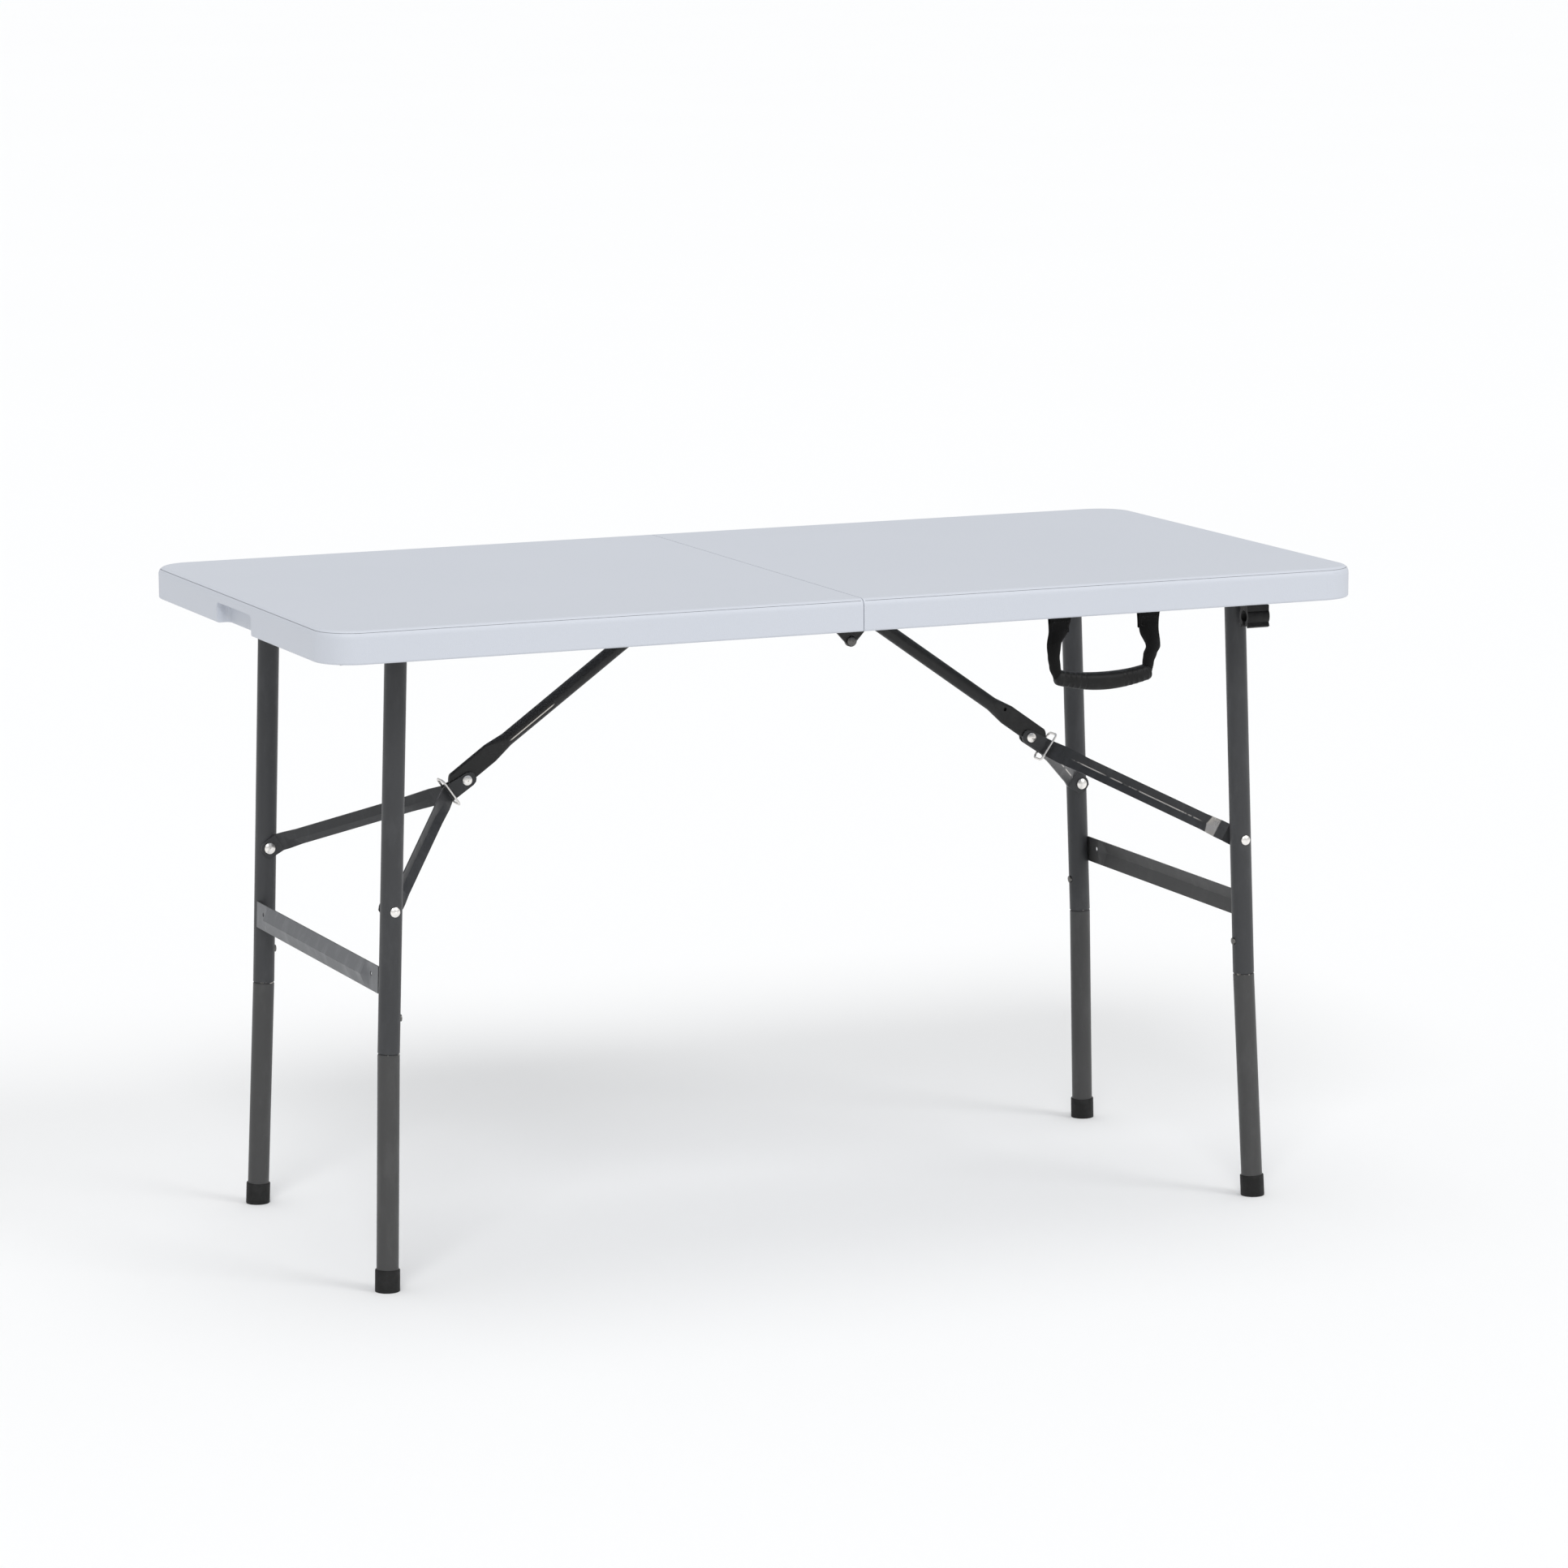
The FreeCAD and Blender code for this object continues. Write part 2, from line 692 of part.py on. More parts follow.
def lower_leg(side, row):
    """Lower leg tube, leaning out a little, with a bare swaged end that plugs into the upper leg."""
    neck = 6
    length = canted_length() - size("cap_sole")
    cant = cant_placement(row)
    outer, _ = tube("{leg_od}", "{leg_wall}", 0, str(length))
    _, inner = tube("{leg_od}", "{leg_wall}", -neck, str(length))
    body = cut(bevelled(outer, size("groove_chamfer"), lower_rim(0)), inner)
    body.Placement = cant
    sleeve_top = size("sleeve_length") - size("upper_leg_length")
    sleeve_outer, sleeve_inner = tube(
        "{sleeve_od}", "{sleeve_wall}", sleeve_top, str(size("sleeve_length") + neck / 2),
    )
    slot_width = 2 * size("button_radius") + 0.8
    slot = box(
        "20", str(slot_width), str(sleeve_top + size("button_along") + slot_width / 2 + 1),
        (-20, -slot_width / 2, -size("button_along") - slot_width / 2),
    )
    plug = cut(fuse(body, sleeve_outer), sleeve_inner, slot)
    place = SIDES[side]["turn"].multiply(leg_frame_placement(row * size("leg_y")))
    finish(plug, f"{side}_{row_name(side, row)}_lower_leg", place)


def foot_cap(side, row):
    """Rubber cap over the foot, its sole cut level with the floor."""
    frame = leg_frame_placement(row * size("leg_y")).multiply(cant_placement(row))
    length = canted_length()
    shell = cylinder("{cap_od} / 2", "{cap_length} + 1", (0, 0, -length - 1))

    def outer_rim(edge):
        return edge.BoundBox.XLength > size("cap_od") - 0.1 and edge.BoundBox.ZLength < 0.01

    shell = rounded(shell, size("cap_round") / 2, outer_rim)
    socket = cylinder("{leg_od} / 2", "40", (0, 0, -length + size("cap_sole")))
    floor_block = box("90", "90", "20", (0, 0, 0))
    foot = frame.multVec(Vector(0, 0, -length))
    floor_corner = Placement(Vector(foot.x - 45, foot.y - 45, -20), Rotation())
    floor_block.Placement = frame.inverse().multiply(floor_corner)
    cap = cut(shell, socket, floor_block)
    finish(cap, f"{side}_{row_name(side, row)}_foot_cap", SIDES[side]["turn"].multiply(frame))


def snap_button(side, row):
    """Sprung button through the upper leg's inner face, with a collar behind it."""
    leg_y = row * size("leg_y")
    centre = -size("button_along")
    collar = cylinder("{button_radius} + 0.6", "1.2", (-6.8, 0, centre), (-1, 0, 0))
    shank_length = LEG_RADIUS - 8 + size("button_proud") - 1.6
    shank = cylinder("{button_radius}", str(shank_length), (-8, 0, centre), (-1, 0, 0))
    crown = formed(dome(size("button_radius"), 1.6, (-8 - shank_length, 0, centre), (-1, 0, 0)))
    place = SIDES[side]["turn"].multiply(leg_frame_placement(leg_y))
    finish(fuse(collar, shank, crown), f"{side}_{row_name(side, row)}_snap_button", place)


def button_spring(side, row):
    """Bent leaf spring behind the button, inside the bore of the swaged end."""
    leg_y = row * size("leg_y")
    leaf = 0.6
    width = 7
    front = -6.8
    back = 5.2
    bottom = -size("button_along") - 7
    top = bottom + 44
    arm_front = box(str(leaf), str(width), str(top - bottom), (front, -width / 2, bottom))
    arm_back = box(str(leaf), str(width), str(top - bottom), (back, -width / 2, bottom))
    radius = (back + leaf - front) / 2
    middle = (front + back + leaf) / 2
    bend = cylinder(str(radius), str(width), (middle, -width / 2, top), (0, 1, 0))
    bend_inner = cylinder(str(radius - leaf), str(width), (middle, -width / 2, top), (0, 1, 0))
    below = box("30", str(width), "15", (middle - 15, -width / 2, top - 15))
    loop = cut(bend, bend_inner, below)
    place = SIDES[side]["turn"].multiply(leg_frame_placement(leg_y))
    finish(fuse(arm_front, arm_back, loop), f"{side}_{row_name(side, row)}_button_spring", place)


# ------------------------------------------------------------------ braces

def brace_direction():
    """Unit vector from the strut's pivot to the knee, in X and Z."""
    dx = size("knee_x") - size("strut_pivot_x")
    dz = size("knee_z") - size("strut_pivot_z")
    length = math.hypot(dx, dz)
    return dx / length, dz / length


def brace_frame(origin_x, origin_z, dx, dz):
    """A frame with its X along (dx, dz), its Y along the table's Y."""
    tilt = -math.degrees(math.atan2(dz, dx))
    return Placement(Vector(origin_x, 0, origin_z), Rotation(Y_AXIS, tilt))


def stadium(along, rise, height, thickness):
    """A flattened tube's outline: its place along the strut, its height above the pin line, its size."""
    radius = thickness / 2
    low = rise - height / 2 + radius
    high = rise + height / 2 - radius
    points = [
        Vector(along, -radius, low), Vector(along, -radius, high),
        Vector(along, radius, high), Vector(along, radius, low),
    ]
    edges = [
        Part.LineSegment(points[0], points[1]).toShape(),
        Part.Arc(points[1], Vector(along, 0, high + radius), points[2]).toShape(),
        Part.LineSegment(points[2], points[3]).toShape(),
        Part.Arc(points[3], Vector(along, 0, low - radius), points[0]).toShape(),
    ]
    return Part.Wire(edges)


def strut(side):
    """The brace's long member: a round tube flattened at both ends, seam groove on its +Y side."""
    length = size("strut_length")
    radius = size("strut_od") / 2
    flat = size("strut_flat_thickness")
    tall = size("strut_flat_height")
    neck = 2 * radius
    rise = size("strut_rise")
    tail = 20
    tongue = (0, neck + 3, flat)
    tube = (rise, neck, neck - 0.2)
    knee_end = (rise, tall, flat)
    # straight runs (start, end, section), joined by tapers
    runs = [
        (-9, 16, tongue),
        (38, length - 64, tube),
        (length - 40, length + tail, knee_end),
    ]
    pieces = []
    for start, end, section in runs:
        face = Part.Face(stadium(start, *section))
        pieces.append(face.extrude(Vector(end - start, 0, 0)))
    for (_, start, before), (end, _, after) in zip(runs, runs[1:]):
        sections = [stadium(start, *before), stadium(end, *after)]
        pieces.append(Part.makeLoft(sections, True, True))
    shape = pieces[0].multiFuse(pieces[1:]).removeSplitter()
    tail_disc = Part.makeCylinder(tail, 40, Vector(length, -20, 0), Y_AXIS)
    tail_zone = Part.makeBox(60, 40, 60, Vector(length, -20, -30))
    shape = shape.cut(tail_zone.cut(tail_disc))
    clearance = size("running_clearance")
    pin_hole = Part.makeCylinder(4 + clearance, 40, Vector(0, -20, 0), Y_AXIS)
    knee_hole = Part.makeCylinder(size("knee_radius") + clearance, 40, Vector(length, -20, 0), Y_AXIS)
    relief = Part.makeCylinder(2.2, flat / 2 + 4, Vector(length - 47, -flat / 2 - 4, rise + 3.5), Y_AXIS)
    groove = Part.makeBox(60, 1.4, 1.4, Vector(length - 128, radius - 1.4, rise - 0.7))
    shape = shape.cut(Part.makeCompound([pin_hole, knee_hole, relief, groove]))
    strut_object = formed(shape)
    dx, dz = brace_direction()
    place = brace_frame(size("strut_pivot_x"), size("strut_pivot_z"), dx, dz)
    finish(strut_object, f"{side}_strut", SIDES[side]["turn"].multiply(place))


def arm_direction():
    """Unit vector from the knee to the arm bolts, in X and Z."""
    bolt_x = size("pivot_x") + size("bolt_along") * math.sin(SPLAY)
    bolt_z = size("pivot_z") - size("bolt_along") * math.cos(SPLAY)
    dx = bolt_x - size("knee_x")
    dz = bolt_z - size("knee_z")
    length = math.hypot(dx, dz)
    return dx / length, dz / length, length


def arm_placement():
    """The arms' own frame: origin at the knee, X towards the bolts."""
    dx, dz, _ = arm_direction()
    return brace_frame(size("knee_x"), size("knee_z"), dx, dz)


def arm_faces():
    """Distance from the middle to the arms' inner faces, at the knee and beside the leg."""
    knee_face = size("strut_flat_thickness") / 2 + size("arm_gap")
    leg_face = size("leg_y") - LEG_RADIUS - size("arm_gap") - size("arm_plate")
    return knee_face, leg_face


def arm(side, row):
    """Ridged strip from the knee, bent out to the leg and bent back flat against it."""
    label = f"{side}_{row_name(side, row)}_arm"
    _, _, length = arm_direction()
    knee_face, leg_face = arm_faces()
    half = size("arm_height") / 2
    split = 27
    landing = length - 13
    slant = math.degrees(math.atan2(leg_face - knee_face, landing - split))
    normal = row * 90
    bent = row * (90 + slant)
    ridge_start = 0.22
    ridge_end = 0.88
    crest = -4.0

    def on_slope(fraction):
        along = split + (landing - split) * fraction
        across = knee_face + (leg_face - knee_face) * fraction
        return along, row * across

    tip = half - 2.5
    stations = [
        (-10.5, row * knee_face, normal, 0, tip - 4.5),
        (-8, row * knee_face, normal, 0, tip - 1.5),
        (-4, row * knee_face, normal, 0, tip),
        (split, row * knee_face, row * (90 + slant / 2), 0, half - 0.8),
        (*on_slope(0.08), bent, 0, half),
        (*on_slope(ridge_start), bent, crest, half - 1),
        (*on_slope(ridge_end), bent, crest, half - 1),
        (*on_slope(0.96), bent, 0, half),
        (landing, row * leg_face, row * (90 + slant / 2), 0, half),
        (length + 3, row * leg_face, normal, 0, half - 0.5),
        (length + 6, row * leg_face, normal, 0, half - 2.5),
        (length + 9, row * leg_face, normal, 0, half - 6),
    ]
    strip = ridged_strip(stations, size("arm_plate"))
    bolt = cylinder("{bolt_radius}", "60", (length, row * leg_face - 30, 0), (0, 1, 0))
    rivet = cylinder("{knee_radius}", "20", (0, row * knee_face - 10, 0), (0, 1, 0))
    strip.Placement.Base = Vector(0, 0, -size("arm_drop"))
    place = SIDES[side]["turn"].multiply(arm_placement())
    finish(cut(strip, bolt, rivet), label, place)


def arm_rivets(side):
    """The knee rivet, and the arms' half of each bolt: a stub in the arm with its head inside."""
    _, _, length = arm_direction()
    knee_face, leg_face = arm_faces()
    plate = size("arm_plate")
    reach = knee_face + plate
    rivet = Part.makeCylinder(size("knee_radius"), 2 * reach, Vector(0, -reach, 0), Y_AXIS)
    heads = []
    for row in (-1, 1):
        heads.append(dome(5.5, 3.2, (0, row * reach, 0), (0, row, 0), dimple=1.3))
    solids = [rivet.multiFuse(heads).removeSplitter()]
    for row in (-1, 1):
        start = (length, row * leg_face, 0)
        stub = Part.makeCylinder(size("bolt_radius"), plate, Vector(*start), Vector(0, row, 0))
        head = dome(6.2, 3.6, start, (0, -row, 0))
        solids.append(stub.fuse(head).removeSplitter())
    place = SIDES[side]["turn"].multiply(arm_placement())
    finish(formed(Part.makeCompound(solids)), f"{side}_arm_rivets", place)


def lock_ring(side):
    """Wire ring round both arms just past the strut's end; it slides up over the strut."""
    wire = size("ring_wire") / 2
    half_z = size("ring_height") / 2 - wire
    half_y = size("ring_width") / 2
    corner = 4.5
    along = size("strut_length") + size("ring_along")
    rise = size("ring_rise")
    edges = []
    quarter = corner * (1 - math.sqrt(0.5))
    starts = []
    for side_y, side_z in ((1, 1), (-1, 1), (-1, -1), (1, -1)):
        y = side_y * half_y
        z = side_z * half_z + rise
        toward_y = -side_y * corner
        toward_z = -side_z * corner
        on_side = Vector(along, y, z + toward_z)
        on_top = Vector(along, y + toward_y, z)
        bulge = Vector(along, y + math.copysign(quarter, toward_y), z + math.copysign(quarter, toward_z))
        starts.append((on_side, bulge, on_top))
    order = [
        starts[0], (starts[1][2], starts[1][1], starts[1][0]),
        starts[2], (starts[3][2], starts[3][1], starts[3][0]),
    ]
    for here, following in zip(order, order[1:] + order[:1]):
        edges.append(Part.Arc(*here).toShape())
        edges.append(Part.LineSegment(here[2], following[0]).toShape())
    path = Part.Wire(edges)
    section = Part.Wire(Part.Circle(order[0][0], Z_AXIS, wire).toShape())
    ring = path.makePipeShell([section], True, False)
    dx, dz = brace_direction()
    frame = brace_frame(size("strut_pivot_x"), size("strut_pivot_z"), dx, dz)
    place = SIDES[side]["turn"].multiply(frame)
    finish(formed(ring), f"{side}_lock_ring", place)


def strut_bracket(side):
    """Folded bracket under the deck whose two ears hold the strut's pin."""
    pivot_x = size("strut_pivot_x")
    pivot_z = size("strut_pivot_z")
    plate = 2
    base = box("70", "50", str(plate), (pivot_x - 35, -25, DECK_Z - plate))
    gap = size("strut_flat_thickness") / 2 + size("arm_gap")
    pieces = [base]
    for row in (-1, 1):
        start_y = gap if row > 0 else -gap - plate
        ear = box("26", str(plate), str(DECK_Z - pivot_z + 9), (pivot_x - 13, start_y, pivot_z - 9))
        pieces.append(ear)
    pin = cylinder("4", "60", (pivot_x, -30, pivot_z), (0, 1, 0))
    tools = [pin]
    for x, y in bracket_screw_places():
        tools.append(cylinder("2", "6", (x, y, DECK_Z - 4)))
    finish(cut(fuse(*pieces), *tools), f"{side}_strut_bracket", SIDES[side]["turn"])


def strut_pin(side):
    """Riveted pin through the bracket's ears and the strut's upper end."""
    gap = size("strut_flat_thickness") / 2 + size("arm_gap") + 2
    start = (size("strut_pivot_x"), -gap, size("strut_pivot_z"))
    shank = Part.makeCylinder(4, 2 * gap, Vector(*start), Y_AXIS)
    front = dome(6, 2.6, start, (0, -1, 0))
    back = dome(6, 2.6, (start[0], gap, start[2]), (0, 1, 0))
    pin = shank.multiFuse([front, back]).removeSplitter()
    finish(formed(pin), f"{side}_strut_pin", SIDES[side]["turn"])


# ------------------------------------------------------------------ carry handle

STRAPS = {"near": "strap_near_x", "far": "strap_far_x"}


def strap_anchors():
    """A hanger for each strap in the front rail: plate, two ears and the rod the strap turns on."""
    pivot_y = -size("handle_pivot_y")
    pivot_z = size("handle_pivot_z")
    plate_top = DECK_Z - size("rail_wall")
    solids = []
    for alias in STRAPS.values():
        centre = size(alias)
        half = size("strap_width") / 2 + 1
        shape = Part.makeBox(2 * half + 4, 12, 2, Vector(centre - half - 2, pivot_y - 6, plate_top - 2))
        for x in (centre - half - 2, centre + half):
            ear = Part.makeBox(2, 8, plate_top - pivot_z + 3.5, Vector(x, pivot_y - 4, pivot_z - 3.5))
            shape = shape.fuse(ear)
        rod = Part.makeCylinder(2.5, 2 * half + 4, Vector(centre - half - 2, pivot_y, pivot_z), X_AXIS)
        solids.append(shape.fuse(rod).removeSplitter())
    finish(formed(Part.makeCompound(solids)), "strap_anchors")


def grip_centre_z():
    """Height of the grip's ends; its middle hangs lower by the sag."""
    return 622


def grip_arc_radius():
    """Radius of the grip's centre line, from its span and sag."""
    half = size("grip_span") / 2
    sag = size("grip_sag")
    return (half * half + sag * sag) / (2 * sag)


def grip_segment(from_angle, to_angle, grow):
    """Part of the grip between two angles about its arc's centre, swollen by grow."""
    radius = grip_arc_radius()
    centre = Vector(size("grip_mid_x"), -size("handle_pivot_y"), grip_centre_z() - size("grip_sag") + radius)
    long_half = size("grip_thickness") / 2 + grow
    short_half = size("grip_height") / 2 + grow
    ellipse = Part.Ellipse(centre + Vector(0, 0, -radius), long_half, short_half)
    face = Part.Face(Part.Wire(ellipse.toShape()))
    # the ellipse is drawn flat in XY, so it is stood up across the arc before it is turned
    face.rotate(centre + Vector(0, 0, -radius), X_AXIS, 90)
    face.rotate(centre + Vector(0, 0, -radius), Z_AXIS, 90)
    face.rotate(centre, Y_AXIS, from_angle)
    return face.revolve(centre, Y_AXIS, to_angle - from_angle)


def grip():
    """Moulded carry grip, bowed down, with raised ribs near both ends."""
    reach = math.degrees(math.asin(size("grip_span") / 2 / grip_arc_radius()))
    shape = grip_segment(-reach, reach, 0)
    ribs = []
    for number in range(4):
        for sense in (-1, 1):
            middle = sense * (reach - 3.0 - 1.9 * number)
            ribs.append(grip_segment(middle - 0.42, middle + 0.42, 0.9))
    shape = shape.multiFuse(ribs)
    finish(formed(shape), "handle_grip")
    return shape


def strap(name, grip_shape):
    """Webbing strap: a loop round its anchor rod, tapering down to the grip's end."""
    centre = size(STRAPS[name])
    pivot = Vector(centre, -size("handle_pivot_y"), size("handle_pivot_z"))
    half = size("strap_width") / 2
    thick = size("strap_thickness") / 2
    loop_outer = Part.makeCylinder(4.6, 2 * half, pivot - Vector(half, 0, 0), X_AXIS)
    loop_inner = Part.makeCylinder(2.8, 2 * half, pivot - Vector(half, 0, 0), X_AXIS)
    end_x = size("grip_mid_x") + math.copysign(size("grip_span") / 2 - 6, centre - size("grip_mid_x"))

    def section(x, z, half_width):
        points = []
        for dx, dy in ((-1, -1), (1, -1), (1, 1), (-1, 1)):
            points.append(Vector(x + dx * half_width, pivot.y + dy * thick, z))
        return Part.makePolygon(points + points[:1])

    web = Part.makeLoft(
        [section(centre, pivot.z - 2, half), section(centre, 655, half - 2), section(end_x, 624, 6)],
        True, True,
    )
    shape = loop_outer.fuse(web).cut(loop_inner).cut(grip_shape).removeSplitter()
    largest = sorted(shape.Solids, key=lambda solid: solid.Volume)[-1]
    finish(formed(largest), f"handle_{name}_strap")


# ------------------------------------------------------------------ latch clip

def latch_clip():
    """Plastic C clip under the right front rail, its mouth facing down, with a screw boss."""
    length = size("clip_length")
    start_x = size("clip_x")
    centre = Vector(start_x, -size("clip_y"), size("clip_z"))
    outer = Part.makeCylinder(size("clip_bore") + size("clip_wall"), length, centre, X_AXIS)
    base = Part.makeBox(length, 18, 10, Vector(start_x, centre.y - 9, size("rail_bottom_z") - 10))
    bore = Part.makeCylinder(size("clip_bore"), length, centre, X_AXIS)
    mouth = Part.makeBox(length, 6.4, 14, Vector(start_x, centre.y - 3.2, centre.z - 14))
    shape = outer.fuse(base).cut(Part.makeCompound([bore, mouth]))
    for row in (-1, 1):
        lip = Part.makeBox(length, 4, 5, Vector(start_x, centre.y + row * 7 - 2, centre.z - 13))
        lip.rotate(centre + Vector(0, row * 5, -8), X_AXIS, row * 25)
        shape = shape.fuse(lip)
    clear_mouth = Part.makeCompound([bore, mouth])
    shape = shape.cut(clear_mouth).removeSplitter()
    above = Part.makeBox(60, 60, 20, Vector(start_x - 10, centre.y - 30, size("rail_bottom_z")))
    finish(formed(shape.cut(above)), "latch_clip")


# ------------------------------------------------------------------ assemble

for side_name in SIDES:
    tabletop(side_name)
    screws(side_name)
    strut_bracket(side_name)
    strut_pin(side_name)
    hinge_rivets(side_name)
    cross_tube(side_name)
    crossbar(side_name)
    arm_bolts(side_name)
    strut(side_name)
    arm_rivets(side_name)
    lock_ring(side_name)
    for row_sign in (-1, 1):
        rail(side_name, row_sign)
        hinge_leaf(side_name, row_sign)
        upper_leg(side_name, row_sign)
        lower_leg(side_name, row_sign)
        foot_cap(side_name, row_sign)
        snap_button(side_name, row_sign)
        button_spring(side_name, row_sign)
        arm(side_name, row_sign)
hinge_pins()
strap_anchors()
grip_solid = grip()
for strap_name in STRAPS:
    strap(strap_name, grip_solid)
latch_clip()

doc.recompute()

# ------------------------------------------------------------------ check and write

problems = []
for item in doc.Objects:
    if "Invalid" in item.State or "Error" in item.State:
        problems.append(f"{item.Label}: {item.State}")
for item in SUB_PARTS:
    if item.Shape.isNull() or not item.Shape.isValid() or not item.Shape.Solids:
        problems.append(f"{item.Label}: bad shape")
if problems:
    raise RuntimeError("; ".join(problems))

os.makedirs("parts", exist_ok=True)
for item in SUB_PARTS:
    item.Shape.exportStep(f"parts/{item.Label}.step")
print(f"{len(SUB_PARTS)} sub-parts written")
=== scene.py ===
import bmesh
import bpy
import math
from mathutils import Matrix, Vector


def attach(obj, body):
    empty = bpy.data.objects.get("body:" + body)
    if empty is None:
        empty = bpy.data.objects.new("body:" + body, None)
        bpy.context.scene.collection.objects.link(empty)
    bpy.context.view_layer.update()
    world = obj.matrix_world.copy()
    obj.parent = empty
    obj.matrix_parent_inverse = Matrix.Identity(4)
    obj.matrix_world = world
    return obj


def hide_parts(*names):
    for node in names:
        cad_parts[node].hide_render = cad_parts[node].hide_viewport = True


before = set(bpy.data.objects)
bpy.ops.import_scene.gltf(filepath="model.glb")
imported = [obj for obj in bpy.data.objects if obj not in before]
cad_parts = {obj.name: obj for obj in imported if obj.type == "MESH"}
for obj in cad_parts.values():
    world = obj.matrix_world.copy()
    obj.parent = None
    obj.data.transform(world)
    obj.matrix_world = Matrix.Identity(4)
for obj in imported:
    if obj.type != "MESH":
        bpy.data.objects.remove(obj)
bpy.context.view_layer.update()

SIDES = ("left", "right")
ROWS = ("front", "back")

# ------------------------------------------------------------------ camera, light and floor


def aim_camera():
    """A long lens, in front and to the left, a little above the top."""
    place = Vector((-2.5725, -6.0201, 1.6002))
    yaw = 0.4091
    pitch = 0.1695
    roll = -0.0047
    forward = Vector((math.sin(yaw) * math.cos(pitch), math.cos(yaw) * math.cos(pitch), -math.sin(pitch)))
    level_right = Vector((math.cos(yaw), -math.sin(yaw), 0))
    level_up = level_right.cross(forward)
    right = math.cos(roll) * level_right + math.sin(roll) * level_up
    up = -math.sin(roll) * level_right + math.cos(roll) * level_up
    lens = bpy.data.cameras.new("camera")
    lens.lens = 135.157
    lens.sensor_width = 36
    lens.clip_end = 200
    camera = bpy.data.objects.new("camera", lens)
    axes = Matrix((right, up, -forward)).transposed()
    camera.matrix_world = Matrix.Translation(place) @ axes.to_4x4()
    bpy.context.scene.collection.objects.link(camera)
    bpy.context.scene.camera = camera


def soft_sun(name, toward_light, strength, spread_deg):
    """A distant light as soft as a disc spread_deg wide in the sky."""
    data = bpy.data.lights.new(name, "SUN")
    data.energy = strength
    data.angle = math.radians(spread_deg)
    light = bpy.data.objects.new(name, data)
    light.rotation_euler = Vector(toward_light).to_track_quat("Z", "Y").to_euler()
    bpy.context.scene.collection.objects.link(light)


def studio():
    """Soft light from above and from both sides of the front, over a wide pale floor."""
    scene = bpy.context.scene
    scene.view_settings.view_transform = "Standard"
    world = bpy.data.worlds.new("studio")
    world.use_nodes = True
    sky = world.node_tree.nodes["Background"]
    sky.inputs["Color"].default_value = (0.98, 0.99, 1.0, 1)
    sky.inputs["Strength"].default_value = 0.62
    scene.world = world
    soft_sun("overhead", (0.05, 0.1, 1.0), 0.42, 40)
    soft_sun("key", (-0.55, -1.0, 1.1), 0.95, 22)
    soft_sun("fill", (0.8, -1.0, 1.0), 0.6, 22)
    mesh = bpy.data.meshes.new("floor")
    reach = 90
    corners = [(-reach, -reach, 0), (reach, -reach, 0), (reach, reach, 0), (-reach, reach, 0)]
    mesh.from_pydata(corners, [], [(0, 1, 2, 3)])
    floor = bpy.data.objects.new("floor", mesh)
    scene.collection.objects.link(floor)
    return floor


# ------------------------------------------------------------------ materials


